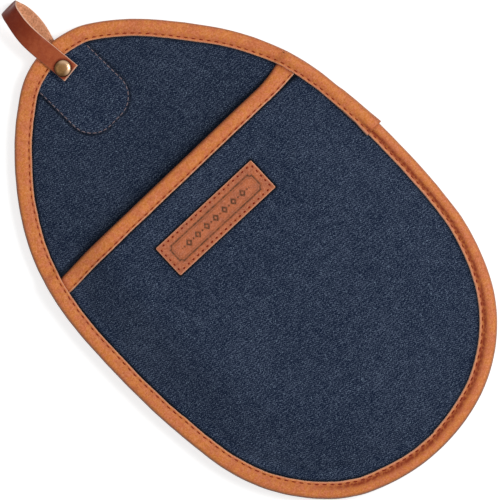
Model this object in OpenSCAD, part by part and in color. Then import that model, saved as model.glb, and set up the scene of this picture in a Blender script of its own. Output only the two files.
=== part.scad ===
// Paddle-shaped oven mitt: a padded egg of denim with a hand pocket sewn over its
// wide end, leather binding round the rim and along the pocket's mouth, a leather
// label, and a riveted leather hanging strap that swivels on its rivet.
// It lies on its padded back. +Z is up, +Y runs from the wide base to the tip that
// carries the strap, and the origin is in the middle of the back's resting face.

/* [Outline] */
// Length of the mitt from base to tip, without the strap
body_l = 300; // [280:1:320]
// Width of the mitt at its widest
body_w = 194; // [180:1:210]
// Radius of the narrow tip
tip_r = 46; // [40:0.5:52]
// Radius of the long shoulders between the tip and the sides
shoulder_r = 154; // [140:1:180]
// How far the sides swell out past the round base
side_swell = 3.6; // [2.5:0.1:6]
// Height of the widest place above the base
widest_up = 143; // [136:1:150]

/* [Cloth and padding] */
// Thickness of the denim
denim_t = 0.9; // [0.6:0.1:1.3]
// Thickness of the back's wadding where the rim's binding pinches it
back_pinch = 1.8; // [1:0.1:3]
// Thickness of the pocket's cotton lining
lining_t = 0.5; // [0.3:0.1:0.8]
// Thickness of the pocket's wadding in the middle
pocket_loft = 2.6; // [1.5:0.1:4]
// Thickness of the pocket's wadding where the rim's binding pinches it
pocket_pinch = 0.8; // [0.5:0.1:1.5]

/* [Pocket] */
// Distance of the pocket's mouth from the tip, on the centre line
mouth_down = 95; // [85:1:105]
// Turn of the mouth from square to the centre line, in degrees
mouth_turn = -1.9; // [-3:0.1:3]
// Height that the empty pocket stands open at its mouth
hand_room = 10; // [7:0.5:16]
// Height that it stands open at its lower end
hand_room_low = 6; // [5:0.5:10]
// Width of the leather binding along the mouth
mouth_band = 9; // [7:0.5:12]

/* [Binding] */
// Thickness of the binding leather
leather_t = 1.1; // [0.8:0.1:1.5]
// Width of the rim's binding on each face
rim_band = 9; // [7:0.5:11]
// Depth of the round fold along the rim
fold_d = 2.5; // [2:0.1:3]
// Distance of the binding's lapped end from the tip, down the right side
lap_down = 155; // [145:1:160]
// Length of the lap
lap_l = 24; // [15:1:32]
// Thickness of the binding's pared start, under the lap
pared_t = 0.4; // [0.3:0.05:0.8]

/* [Label] */
// Length of the leather label
label_l = 69; // [50:1:76]
// Height of the leather label
label_h = 19.5; // [14:0.5:26]
// Thickness of the leather label
label_t = 1.2; // [0.8:0.1:1.8]
// Corner radius of the label
label_r = 0.8; // [0.5:0.1:3]
// Gap between the mouth's binding and the label
label_gap = 15.5; // [8:0.5:24]
// How far the label's middle lies to the right of the centre line
label_off = 1.2; // [-4:0.1:4]
// Turn of the label from the line of the mouth, in degrees
label_turn = -0.7; // [-2:0.1:2]

/* [Strap and rivet] */
// Width of the hanging strap
strap_w = 11; // [9:0.5:13]
// Thickness of the strap leather
strap_t = 1.6; // [1.2:0.1:2.2]
// Reach of the strap's loop past the tip
strap_reach = 29.5; // [24:0.5:40]
// Length of strap past the rivet's centre
strap_tail = 5; // [4.5:0.5:7]
// Distance from the rivet to the strap's centre line
strap_off = 0.7; // [0:0.1:1.5]
// Lean of the strap's front leg, in degrees to the right
front_lean = -5; // [-8:0.5:8]
// Lean of the strap's back leg, in degrees to the right
back_lean = 5; // [-8:0.5:10]
// How far the loop's far end sweeps back to the right of the front leg's line
loop_sweep = 6; // [0:0.5:8]
// How far the back leg bows out to the right between the tip and the loop's far end
back_bow = 2; // [0:0.5:4]
// Roll of the front leg past the tip, right edge up, in degrees
front_roll = 28; // [0:1:40]
// Distance of the rivet from the tip
rivet_down = 14.5; // [13:0.5:16]
// Diameter of the rivet's caps
cap_d = 9.2; // [7:0.1:10]
// Height of the front cap
cap_h = 1.9; // [1.6:0.1:2.6]
// Height of the back cap
back_cap_h = 1.2; // [1:0.1:1.8]
// Diameter of the rivet's stem
stem_d = 3.2; // [2.4:0.1:4]
// Width of the denim patch that the rivet goes through
patch_w = 38; // [32:1:46]
// Distance of the patch's lower end from the tip
patch_down = 55; // [48:1:64]
// Corner radius of the patch's lower end
patch_r = 15; // [8:1:15]

/* [Clearances] */
// Gap between the strap and what it lies on
lie_gap = 0.3; // [0.2:0.05:0.5]
// Running gap between the strap and the rivet
run_gap = 0.08; // [0.05:0.01:0.15]
// Gap between the cloth's cut edges and the fold of the rim's binding
seam_gap = 0.2; // [0.1:0.05:0.4]
// Gap between the two turns of binding where they lap
lap_gap = 0.1; // [0.05:0.05:0.2]

/* [Hidden] */
$fn = 64;

denim = "#2b3a52";
wadding = "#e9e4d8";
lining = "#33415a";
tan_leather = "#c9743f";
brown_leather = "#9a4a2c";
brass = "#9c8455";

// Heights, from the resting face up. The strap's back leg and the rivet's back cap
// pass under the rim, so the rim stands clear of them and the back swells below it.
floor_gap = 0.3;
strap_z0 = floor_gap + back_cap_h + run_gap;
back_z = strap_z0 + strap_t + lie_gap + leather_t;
palm_z = back_z + 2 * denim_t + back_pinch;
pocket_edge_t = lining_t + pocket_pinch + denim_t;
strap_z1 = palm_z + denim_t + leather_t + lie_gap;
cap_z = strap_z1 + strap_t + run_gap;
// Longer than the mitt is thick, for what cuts right through it
over_all = body_w;

half_w = body_w / 2;
tip_y = body_l / 2;
rivet_y = tip_y - rivet_down;
mouth_y = tip_y - mouth_down;

// Insets from the outline: where the layers end, where the back and the pocket
// start to swell, and where both reach their full height
layer_in = fold_d + seam_gap;
back_swell_in = rivet_down + strap_tail;
pocket_swell_in = rim_band + 1;
crown_in = tip_r - 3;

// --- Outline: a chain of tangent arcs up the right side, mirrored on the left ---

base_r = half_w - side_swell;
base_c = [0, base_r - tip_y];
side_y = widest_up - tip_y;
side_r = (half_w + base_r) / 2 + (side_y - base_c.y) ^ 2 / (2 * side_swell);
side_c = [half_w - side_r, side_y];
tip_c = [0, tip_y - tip_r];
shoulder_c = meeting(tip_c, shoulder_r - tip_r, side_c, side_r - shoulder_r);

// The lower of the two places where the circles round p and q meet
function meeting(p, rp, q, rq) =
    let (d = norm(q - p), e = (q - p) / d, a = (rp ^ 2 - rq ^ 2 + d ^ 2) / (2 * d))
    p + a * e + sqrt(rp ^ 2 - a ^ 2) * [-e.y, e.x];

function heading(from, to) = atan2(to.y - from.y, to.x - from.x);

// Each arc: its centre, its radius and the direction in which it ends
arcs = [[base_c, base_r, heading(side_c, base_c)],
        [side_c, side_r, heading(side_c, shoulder_c)],
        [shoulder_c, shoulder_r, heading(shoulder_c, tip_c)],
        [tip_c, tip_r, 90]];

// The point of the right side that faces direction a, moved in by inset
function side_point(a, inset) =
    let (arc = [for (c = arcs) if (a <= c[2]) c][0])
    arc[0] + (arc[1] - inset) * [cos(a), sin(a)];

// The same all round: direction -90 is the base's middle and 90 the tip
function rim_point(a, inset) =
    let (b = (a + 450) % 360 - 90)
    b <= 90 ? side_point(b, inset)
            : let (p = side_point(180 - b, inset)) [-p.x, p.y];

// The direction that the right side faces at height y
function facing(y) =
    [for (c = arcs) let (s = (y - c[0].y) / c[1]) if (s <= sin(c[2])) asin(s)][0];

// The directions in which each ring has a point. Cloth takes the first count of each
// stretch. The rim's binding takes the second, so that it bends closely over the ends
// of the mouth's binding and over the edges of the rivet's patch.
stretches = [
    [-90, 10, 10],
    [arcs[0][2], 2, 2],
    [arcs[1][2], 2, 2],
    [facing(mouth_y - 2 * mouth_band), 2, 8],
    [facing(mouth_y + 2 * mouth_band), 4, 8],
    [arcs[2][2], 5, 15],
    [90, 0, 0]];
function right_side(closely) =
    [for (i = [0:len(stretches) - 2])
        let (from = stretches[i][0], to = stretches[i + 1][0], n = stretches[i][closely ? 2 : 1])
        for (k = [0:n - 1]) from + (to - from) * k / n];

function all_round(closely) =
    let (side = right_side(closely))
    concat(side, [90], [for (i = [len(side) - 1:-1:1]) 180 - side[i]]);

cloth_turns = all_round(false);
function outline(inset) = [for (a = cloth_turns) rim_point(a, inset)];

// --- Quilted layers ---

// A layer's face is [height at the rim, height in the middle, inset where it starts
// to swell from the one to the other, how far the middle comes down to the base].
back_face = [back_z, 0, back_swell_in, 0];
back_inner = raised(back_face, denim_t);
palm_under = [palm_z - denim_t, palm_z - denim_t, back_swell_in, 0];
lining_face = [palm_z, palm_z + hand_room, pocket_swell_in, hand_room - hand_room_low];
lining_outer = raised(lining_face, lining_t);
pocket_inner = [palm_z + pocket_edge_t - denim_t, lining_outer[1] + pocket_loft,
                pocket_swell_in, hand_room - hand_room_low];
pocket_face = raised(pocket_inner, denim_t);

function raised(face, t) = [face[0] + t, face[1] + t, face[2], face[3]];

// A smooth step from 0 to 1
function swell(t) = t <= 0 ? 0 : t >= 1 ? 1 : t * t * (3 - 2 * t);

swell_steps = 5;
function swell_inset(face, i) = face[2] + (crown_in - face[2]) * i / swell_steps;

// The middle is level from the mouth to below the label, and comes down from there
level_y = mouth_y - mouth_band - label_gap - label_h - rim_band;
function middle_z(face, y) =
    face[1] - face[3] * swell((level_y - y) / (level_y + tip_y - crown_in));

function face_ring(face, inset, share) =
    [for (p = outline(inset)) [p.x, p.y, face[0] + (middle_z(face, p.y) - face[0]) * share]];

function face_rings(face) = concat(
    [face_ring(face, layer_in, 0)],
    [for (i = [0:swell_steps]) face_ring(face, swell_inset(face, i), swell(i / swell_steps))]);

function backwards(list) = [for (i = [len(list) - 1:-1:0]) list[i]];

// Closes a ring that is mirrored about its first point, by level strips across it
function round_cap(n) = concat(
    [[0, 1, n - 1]],
    [for (i = [1:n / 2 - 2]) [i, i + 1, n - 1 - i, n - i]],
    [[n / 2 - 1, n / 2, n / 2 + 1]]);

// Closes a section whose second half runs back along its first
function folded_cap(n) = [for (i = [0:n / 2 - 2]) [i, i + 1, n - 2 - i, n - 1 - i]];

// Skins a row of rings that have the same number of points, and closes both ends. The
// first rows can be folded along their other diagonal.
module loft(rings, cap, turned_rows = 0) {
    n = len(rings[0]);
    last = (len(rings) - 1) * n;
    polyhedron(
        points = [for (r = rings) each r],
        faces = concat(
            cap,
            [for (k = [0:len(rings) - 2]) for (i = [0:n - 1])
                let (a = k * n + i, b = k * n + (i + 1) % n)
                each k < turned_rows
                    ? [[a, a + n, b + n], [a, b + n, b]]
                    : [[a, a + n, b], [b, a + n, b + n]]],
            [for (f = cap) [for (i = backwards(f)) last + i]]));
}

// The solid between two faces, over the whole outline. Its under side is folded along
// the same lines as the top of the layer below it.
module layer(under, over) {
    low_rings = backwards(face_rings(under));
    loft(concat(low_rings, face_rings(over)), round_cap(len(cloth_turns)), len(low_rings) - 1);
}

// Everything on the base's side of a line parallel to the mouth, up above it
module below_mouth(up = 0) {
    translate([0, mouth_y, 0]) rotate(mouth_turn)
        translate([-body_w, up - body_l, 0]) cube([2 * body_w, body_l, over_all]);
}

module rivet_hole(d) {
    translate([0, rivet_y, 0]) cylinder(d = d, h = over_all, center = true);
}

module back_panel() {
    color(denim) difference() {
        layer(back_face, back_inner);
        rivet_hole(stem_d);
    }
}

module back_wadding() {
    color(wadding) difference() {
        layer(back_inner, palm_under);
        rivet_hole(stem_d);
    }
}

module palm_panel() {
    color(denim) difference() {
        translate([0, 0, palm_z - denim_t])
            linear_extrude(denim_t) polygon(outline(layer_in));
        rivet_hole(stem_d);
    }
}

// The patch's own outline, before it is cut along the tip. Its upper end is sewn
// under the rim's binding.
module patch_outline() {
    low = tip_y - patch_down;
    reach = patch_w / 2 - patch_r;
    translate([-patch_w / 2, low + patch_r]) square([patch_w, patch_down]);
    translate([-reach, low]) square([2 * reach, patch_down]);
    for (s = [-1, 1]) translate([s * reach, low + patch_r]) circle(patch_r);
}

module rivet_patch() {
    color(denim) difference() {
        translate([0, 0, palm_z]) linear_extrude(denim_t) intersection() {
            polygon(outline(layer_in + seam_gap));
            patch_outline();
        }
        rivet_hole(stem_d);
    }
}

module pocket_lining() {
    color(lining) intersection() {
        layer(lining_face, lining_outer);
        below_mouth();
    }
}

module pocket_wadding() {
    color(wadding) intersection() {
        layer(lining_outer, pocket_inner);
        below_mouth();
    }
}

module pocket_panel() {
    color(denim) intersection() {
        layer(pocket_inner, pocket_face);
        below_mouth();
    }
}

// --- Leather ---

// The strip folded over the mouth edge of the pocket's layers. Its ends run under
// the rim's binding, and its inner leaf dies out where the lining meets the palm.
module mouth_binding() {
    color(tan_leather) difference() {
        intersection() {
            layer(raised(lining_face, -leather_t), raised(pocket_face, leather_t));
            below_mouth(leather_t);
            translate([0, 0, palm_z])
                linear_extrude(over_all) polygon(outline(layer_in + seam_gap));
        }
        below_mouth(leather_t - mouth_band);
        intersection() {
            layer(lining_face, pocket_face);
            below_mouth();
        }
    }
}

// Height above the palm of what the rim's binding lies on, at a point. Down the sides
// it climbs from the palm over the mouth's binding to the pocket's edge, and at the
// tip it climbs over the rivet's patch.
climb_l = 6;
climb_ahead = 2.5;
side_rise = [
    [-leather_t - climb_ahead - climb_l, 0],
    [-leather_t - climb_ahead, pocket_edge_t + leather_t],
    [mouth_band - leather_t + climb_ahead, pocket_edge_t + leather_t],
    [mouth_band - leather_t + climb_ahead + climb_l, pocket_edge_t]];
patch_rise = [
    [patch_w / 2 + climb_ahead, denim_t],
    [patch_w / 2 + climb_ahead + climb_l, 0]];
function rise(p) =
    let (down = (mouth_y - p.y) * cos(mouth_turn) + p.x * sin(mouth_turn))
    lookup(down, side_rise) + (p.y > tip_c.y - tip_r ? lookup(abs(p.x), patch_rise) : 0);

// One point of the binding's section where it faces direction a: q runs from 90 on
// the upper leaf to -90 on the lower one, in is its inset, and out is its distance
// from the cloth.
function leaf_point(a, q, in, out) =
    let (p = rim_point(a, in), half = (palm_z + rise(p) - back_z) / 2)
    [p.x, p.y, back_z + half + (half + out) * sin(q)];

fold_steps = 5;
function skin(a, out) = concat(
    [leaf_point(a, 90, rim_band, out)],
    [for (i = [0:fold_steps])
        let (q = 90 - 180 * i / fold_steps)
        leaf_point(a, q, fold_d - (fold_d - leather_t + out) * cos(q), out)],
    [leaf_point(a, -90, rim_band, out)]);

function binding_section(a, out, t = leather_t) =
    concat(skin(a, out), backwards(skin(a, out + t)));

// The strip starts under its lap, runs down the right side, round the base, up the
// left side and over the tip, and ends lying over its own start. Its start is pared
// thin, so that the lap rises gently towards the end that shows.
lap_climb = 7;
lap_stretches = 4;
module rim_binding() {
    from = facing(tip_y - lap_down + lap_l);
    to = facing(tip_y - lap_down);
    climb = facing(tip_y - lap_down + lap_l + lap_climb);
    run = backwards(all_round(true));
    shares = [for (k = [0:lap_stretches]) k / lap_stretches];
    function pared(share) = pared_t + (leather_t - pared_t) * share;
    color(tan_leather) loft(concat(
        [for (k = shares) binding_section(from + (to - from) * k, 0, pared(k))],
        [for (a = run) if (a < to) binding_section(a, 0)],
        [for (a = run) if (a > climb) binding_section(a, 0)],
        [binding_section(climb, 0)],
        [for (k = shares) binding_section(from + (to - from) * k, pared(k) + lap_gap)]),
        folded_cap(len(binding_section(from, 0))));
}

module label() {
    color(tan_leather)
        translate([0, mouth_y, pocket_face[1]]) rotate(mouth_turn)
        translate([label_off, leather_t - mouth_band - label_gap - label_h / 2, 0])
        rotate(label_turn)
        linear_extrude(label_t) {
            square([label_l - 2 * label_r, label_h], center = true);
            square([label_l, label_h - 2 * label_r], center = true);
            for (x = [-1, 1], y = [-1, 1])
                translate([x * (label_l / 2 - label_r), y * (label_h / 2 - label_r)])
                    circle(label_r);
        }
}

// --- Strap and rivet ---

leg_z0 = strap_z0 + strap_t / 2;
leg_z1 = strap_z1 + strap_t / 2;
loop_z = (leg_z0 + leg_z1) / 2;
loop_r = loop_z - floor_gap - strap_t / 2;
loop_y = tip_y + strap_reach - strap_t / 2 - loop_r;

// How far height y is past the tip, from 0 to 1 at the loop's far end
function past(y) = max(0, min(1, (y - tip_y) / strap_reach));

// Where each leg's centre line passes height y. Both reach the same far end.
function leg_x(lean, y) = strap_off + (y - rivet_y) * tan(lean);
function front_x(y) = leg_x(front_lean, y) + loop_sweep * past(y) ^ 2.5;
far_y = tip_y + strap_reach;
function back_x(y) = leg_x(back_lean, y) + back_bow * sin(180 * past(y))
    + (front_x(far_y) - leg_x(back_lean, far_y)) * past(y) ^ 4;

// The strap's centre line seen from the side, as [y, z, its direction, how far it
// has passed from the front leg to the back one, its roll]
rise_steps = 8;
loop_steps = 12;
front_run = concat(
    [for (k = [0:2])
        [rivet_y - strap_tail + (tip_y - rivet_y + strap_tail) * k / 3, leg_z1, 0, 0, 0]],
    [for (k = [0:rise_steps])
        let (t = k / rise_steps, run = loop_y - tip_y, rise = loop_z + loop_r - leg_z1)
        [tip_y + run * t, leg_z1 + rise * swell(t),
         atan2(rise * 6 * t * (1 - t), run), 0, front_roll * swell(2 * t)]]);
back_run = [for (s = backwards(front_run)) [s[0], 2 * loop_z - s[1], -180 - s[2], 1, 0]];
strap_run = concat(
    front_run,
    [for (i = [1:loop_steps - 1])
        let (q = 180 * i / loop_steps)
        [loop_y + loop_r * sin(q), loop_z + loop_r * cos(q), -q, swell(i / loop_steps),
         front_roll * swell(1 - 3 * i / loop_steps)]],
    back_run);

// The strap's section, with its edges taken off. Rolled, it turns about its left edge.
edge_cut = 0.3;
strap_corners =
    let (w = strap_w / 2, t = strap_t / 2, flat = w - edge_cut, side = t - edge_cut)
    [[flat, t], [w, side], [w, -side], [flat, -t],
     [-flat, -t], [-w, -side], [-w, side], [-flat, t]];
function strap_section(s) =
    let (x = front_x(s[0]) * (1 - s[3]) + back_x(s[0]) * s[3], roll = s[4])
    [for (c = strap_corners)
        let (out = (c.x + strap_w / 2) * sin(roll) + c.y * cos(roll))
        [x + c.x * cos(roll) - c.y * sin(roll),
         s[0] - out * sin(s[2]), s[1] + out * cos(s[2])]];

module hanging_strap() {
    color(brown_leather) difference() {
        loft([for (s = strap_run) strap_section(s)], folded_cap(len(strap_corners)));
        rivet_hole(stem_d + 2 * run_gap);
    }
}

module rivet_disc(h) {
    rim = h / 3;
    r = cap_d / 2;
    dome = h - rim;
    dome_r = (r ^ 2 + dome ^ 2) / (2 * dome);
    cylinder(r = r, h = rim);
    translate([0, 0, rim]) intersection() {
        translate([0, 0, dome - dome_r]) sphere(dome_r);
        cylinder(r = r, h = h);
    }
}

stem_top = cap_z + cap_h / 2;

module rivet_stud() {
    color(brass) translate([0, rivet_y, 0]) {
        translate([0, 0, floor_gap + back_cap_h]) mirror([0, 0, 1]) rivet_disc(back_cap_h);
        translate([0, 0, floor_gap + back_cap_h / 2])
            cylinder(d = stem_d, h = stem_top - floor_gap - back_cap_h / 2);
    }
}

module rivet_cap() {
    color(brass) translate([0, rivet_y, cap_z]) difference() {
        rivet_disc(cap_h);
        translate([0, 0, -cap_h / 2]) cylinder(d = stem_d, h = cap_h);
    }
}

back_panel();
back_wadding();
palm_panel();
rivet_patch();
pocket_lining();
pocket_wadding();
pocket_panel();
mouth_binding();
rim_binding();
label();
rivet_stud();
rivet_cap();
hanging_strap();
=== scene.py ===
import math
import bpy
import numpy as np
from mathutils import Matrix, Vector, noise
from mathutils.bvhtree import BVHTree
from mathutils.geometry import delaunay_2d_cdt


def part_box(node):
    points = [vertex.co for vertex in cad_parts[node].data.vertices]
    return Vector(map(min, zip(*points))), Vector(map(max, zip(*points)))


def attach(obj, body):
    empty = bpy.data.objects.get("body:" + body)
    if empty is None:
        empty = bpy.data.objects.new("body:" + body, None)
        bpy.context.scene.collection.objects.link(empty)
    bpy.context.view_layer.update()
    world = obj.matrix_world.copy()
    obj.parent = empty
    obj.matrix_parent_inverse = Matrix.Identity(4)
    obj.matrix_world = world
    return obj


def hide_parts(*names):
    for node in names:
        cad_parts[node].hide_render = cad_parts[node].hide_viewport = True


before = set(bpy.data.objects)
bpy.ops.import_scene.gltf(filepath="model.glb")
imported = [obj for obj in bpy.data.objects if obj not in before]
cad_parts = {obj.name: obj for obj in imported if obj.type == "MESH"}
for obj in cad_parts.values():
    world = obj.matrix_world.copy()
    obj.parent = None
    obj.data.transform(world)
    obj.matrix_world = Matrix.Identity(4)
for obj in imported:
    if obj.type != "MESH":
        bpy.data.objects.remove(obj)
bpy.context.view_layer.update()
scene = bpy.context.scene

# Lengths in this script are millimetres, and become metres where a mesh is made.
MM = 0.001


def top_of(node):
    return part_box(node)[1].z / MM


def bottom_of(node):
    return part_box(node)[0].z / MM


# --- Sizes, as the part's source has them ---

# body
TIP_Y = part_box("rim_binding")[1].y / MM
HALF_W = -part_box("rim_binding")[0].x / MM
BODY_L, WIDEST_UP = 300.0, 143.0
TIP_R, SHOULDER_R, SIDE_SWELL = 46.0, 154.0, 3.6
SIDE_Y = WIDEST_UP - BODY_L / 2

# layers: how thick they are, and how far in from the rim each begins and ends its swell
DENIM_T, LEATHER_T, POCKET_EDGE_T = 0.9, 1.1, 2.2
PALM_Z = top_of("palm_panel")
BACK_Z = top_of("back_panel") - DENIM_T
LAYER_IN, POCKET_IN, BACK_IN, CROWN_IN = 2.7, 10.0, 19.5, 43.0

# the pocket's mouth
MOUTH_Y, MOUTH_BAND, MOUTH_TURN = 55.0, 9.0, math.radians(-1.9)
HAND_ROOM, POCKET_FALL = 10.0, 4.0
LINING_MID_Z, POCKET_MID_Z = PALM_Z + HAND_ROOM, top_of("pocket_panel")

# the rim's binding, and its end that laps over its pared start
RIM_BAND, FOLD_D = 9.0, 2.5
LAP_END_Y, LAP_L, LAP_CLIMB, LAP_GAP, PARED_T = -5.0, 24.0, 7.0, 0.1, 0.4

# label
LABEL_L, LABEL_H, LABEL_R, LABEL_GAP = 69.0, 19.5, 0.8, 15.5
LABEL_OFF, LABEL_TURN = 1.2, math.radians(-0.7)
LABEL_DOWN = MOUTH_BAND - LEATHER_T + LABEL_GAP + LABEL_H / 2
# the pocket is level down to here, a little below the label
LEVEL_Y = MOUTH_Y - MOUTH_BAND - LABEL_GAP - LABEL_H - 9

# rivet and patch: how far in from its full size the patch is tucked under, and its seam runs
RIVET_Y = 135.5
PATCH_W, PATCH_LOW, PATCH_R = 38.0, 95.0, 15.0
PATCH_TUCK, PATCH_SEAM_IN = 0.45, 1.3

# hanging strap
STRAP_W, STRAP_T, STRAP_TAIL, STRAP_OFF = 11.0, 1.6, 5.0, 0.7
STRAP_Z0, STRAP_Z1 = 1.58, 10.48
FAR_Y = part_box("hanging_strap")[1].y / MM
FRONT_LEAN, BACK_LEAN, LOOP_SWEEP, BACK_BOW, FRONT_ROLL = -5.0, 5.0, 6.0, 2.0, math.radians(28)

# --- Camera ---

RIGHT = Vector((0.7003, -0.7138, 0))
AIM = Vector((0.7, -3.1, 7)) * MM
LENS, SENSOR, FRAME_W = 500.0, 36.0, 0.2661
cam_data = bpy.data.cameras.new("camera")
cam_data.lens = LENS
cam_data.sensor_width = SENSOR
cam_data.clip_start, cam_data.clip_end = 0.05, 20
camera = bpy.data.objects.new("camera", cam_data)
scene.collection.objects.link(camera)
camera.location = AIM + Vector((0, 0, FRAME_W * LENS / SENSOR))
camera.rotation_euler = (0, 0, math.atan2(RIGHT.y, RIGHT.x))
scene.camera = camera


# --- Small helpers ---

def smooth(t):
    t = np.clip(t, 0, 1)
    return t * t * (3 - 2 * t)


def hill(x, half):
    """A smooth hill of height 1 at 0, which has fallen to about a third at half."""
    return np.exp(-((x / half) ** 2))


def between(x, low, high):
    return (x > low) & (x < high)


def unit(a):
    return np.array([math.cos(a), math.sin(a)])


def unit_rows(v):
    return v / np.linalg.norm(v, axis=1)[:, None]


def marks_along(line):
    """Length along a line to each of its points."""
    return np.concatenate([[0], np.cumsum(np.linalg.norm(np.diff(line, axis=0), axis=1))])


def together(*values):
    """The values as arrays of one shape."""
    return np.broadcast_arrays(*(np.asarray(v, float) for v in values))


def wavy(x, y, size, seed=0.0):
    """Soft noise from about -1 to 1, whose hills are about size apart."""
    x, y = together(x, y)
    flat = [noise.noise(Vector((a, b, seed))) for a, b in zip(x.ravel() / size, y.ravel() / size)]
    return np.array(flat).reshape(x.shape) * 1.8


def rounding(edge, r):
    """How far a face drops towards its edge, which is rounded to radius r."""
    return r - np.sqrt(np.clip(r**2 - np.clip(r - edge, 0, r) ** 2, 0, None))


def nearest(xy, line):
    """Distance of each point to the nearest one of a line of close points, and which it is."""
    gap, which = np.empty(len(xy)), np.empty(len(xy), int)
    chunk = 2000
    for i in range(0, len(xy), chunk):
        square = ((xy[i:i + chunk, None, :] - line[None, :, :]) ** 2).sum(-1)
        gap[i:i + chunk] = np.sqrt(square.min(1))
        which[i:i + chunk] = square.argmin(1)
    return gap, which


# --- Outline: a closed chain of arcs, each of which starts as the last one ends ---

def meeting(p, rp, q, rq):
    """Where the circles round p and q meet, on the left of the way from p to q."""
    d = np.linalg.norm(q - p)
    e = (q - p) / d
    a = (rp**2 - rq**2 + d**2) / (2 * d)
    return p + a * e + math.sqrt(rp**2 - a**2) * np.array([-e[1], e[0]])


def heading(a, b):
    return math.degrees(math.atan2(b[1] - a[1], b[0] - a[0]))


BASE_R = HALF_W - SIDE_SWELL
BASE_C = np.array([0, BASE_R - TIP_Y])
SIDE_R = (HALF_W + BASE_R) / 2 + (SIDE_Y - BASE_C[1]) ** 2 / (2 * SIDE_SWELL)
SIDE_C = np.array([HALF_W - SIDE_R, SIDE_Y])
TIP_C = np.array([0, TIP_Y - TIP_R])
SHOULDER_C = meeting(TIP_C, SHOULDER_R - TIP_R, SIDE_C, SIDE_R - SHOULDER_R)
ENDS = [heading(SIDE_C, BASE_C), heading(SIDE_C, SHOULDER_C), heading(SHOULDER_C, TIP_C)]
BREAKS = np.array([-90, *ENDS, 90, *[180 - a for a in reversed(ENDS)], 270])
RIGHT_ARCS = [(BASE_C, BASE_R), (SIDE_C, SIDE_R), (SHOULDER_C, SHOULDER_R), (TIP_C, TIP_R)]
ALL_ARCS = RIGHT_ARCS + [(c * [-1, 1], r) for c, r in reversed(RIGHT_ARCS)]
CENTRES = np.array([c for c, r in ALL_ARCS])
RADII = np.array([r for c, r in ALL_ARCS])


def wrapped(turn):
    """The same direction, from -90 (the base) over 90 (the tip) to 270 degrees."""
    return (np.asarray(turn) + 90) % 360 - 90


def rim(turn, inset):
    """The point of the outline, moved in by inset, that faces direction turn, in degrees."""
    turn, inset = together(turn, inset)
    k = np.clip(np.searchsorted(BREAKS, wrapped(turn), side="right") - 1, 0, len(RADII) - 1)
    a = np.radians(turn)
    r = RADII[k] - inset
    return np.stack([CENTRES[k, 0] + r * np.cos(a), CENTRES[k, 1] + r * np.sin(a)], -1)


def ring_marks(inset):
    """Length along the ring at that inset to the end of each arc, from the middle of the base."""
    return np.concatenate([[0], np.cumsum((RADII - inset) * np.radians(np.diff(BREAKS)))])


def run_to(turn, inset):
    marks = ring_marks(inset)
    laps = np.floor((np.asarray(turn, float) + 90) / 360)
    return laps * marks[-1] + np.interp(turn - 360 * laps, BREAKS, marks)


def turn_at(run, inset):
    marks = ring_marks(inset)
    laps = np.floor(np.asarray(run, float) / marks[-1])
    return 360 * laps + np.interp(run - laps * marks[-1], marks, BREAKS)


def ring_turns(step, inset=0, spare=0):
    """Directions at even steps along one whole ring, less what is spare."""
    return turn_at(np.arange(0, run_to(270 - 1e-6, inset) - spare, step), inset)


def facing(y):
    """The direction that the right side faces at height y."""
    t = np.linspace(-90, 90, 4001)
    return float(np.interp(y, rim(t, 0)[:, 1], t))


RING_TURN = ring_turns(0.5)
RING = rim(RING_TURN, 0)


def place_of(xy):
    """Distance in from the outline, of each point, and the direction of the rim next to it."""
    inset, which = nearest(xy, RING)
    return inset, RING_TURN[which]


def inset_of(xy):
    return nearest(xy, RING)[0]


def inside_rim(xy, least):
    """True for points inside the outline, at least that far in."""
    inside = inset_of(xy) > least
    for (c, r), low, high in zip(ALL_ARCS, BREAKS[:-1], BREAKS[1:]):
        a = wrapped(np.degrees(np.arctan2(xy[:, 1] - c[1], xy[:, 0] - c[0])))
        inside &= ~((a >= low) & (a <= high) & (np.linalg.norm(xy - c, axis=1) > r))
    return inside


# The mouth's own frame: across runs along the mouth, and down runs from it to the base
MOUTH_X = unit(MOUTH_TURN)
MOUTH_DOWN = np.array([math.sin(MOUTH_TURN), -math.cos(MOUTH_TURN)])
MOUTH_O = np.array([0, MOUTH_Y])


def across_of(xy):
    return (xy - MOUTH_O) @ MOUTH_X


def down_of(xy):
    return (xy - MOUTH_O) @ MOUTH_DOWN


def from_mouth(across, down):
    across, down = together(across, down)
    return MOUTH_O + across[..., None] * MOUTH_X + down[..., None] * MOUTH_DOWN


LABEL_COS, LABEL_SIN = unit(LABEL_TURN)


def on_label(a, b):
    """A point of the label, a to the right and b up from its middle."""
    a, b = together(a, b)
    return from_mouth(LABEL_OFF + a * LABEL_COS - b * LABEL_SIN,
                      LABEL_DOWN - a * LABEL_SIN - b * LABEL_COS)


def beside_label(xy):
    """Distance out from the label's edge."""
    x, y = across_of(xy) - LABEL_OFF, LABEL_DOWN - down_of(xy)
    a = np.abs(x * LABEL_COS + y * LABEL_SIN) - LABEL_L / 2
    b = np.abs(y * LABEL_COS - x * LABEL_SIN) - LABEL_H / 2
    return np.maximum(a, b)


# --- Faces of the layers ---

def pocket_face(xy, inset, edge, middle):
    """Height of a face of the pocket, which swells from edge to middle and falls to the base."""
    share = smooth((inset - POCKET_IN) / (CROWN_IN - POCKET_IN))
    fall = POCKET_FALL * smooth((LEVEL_Y - xy[..., 1]) / (LEVEL_Y + TIP_Y - CROWN_IN))
    return edge + (middle - fall - edge) * share


def pocket_top(xy, inset):
    return pocket_face(xy, inset, PALM_Z + POCKET_EDGE_T, POCKET_MID_Z)


def pocket_bottom(xy, inset):
    return pocket_face(xy, inset, PALM_Z, LINING_MID_Z)


def back_bottom(inset):
    return BACK_Z * (1 - smooth((inset - BACK_IN) / (CROWN_IN - BACK_IN)))


# --- Making meshes ---

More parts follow.
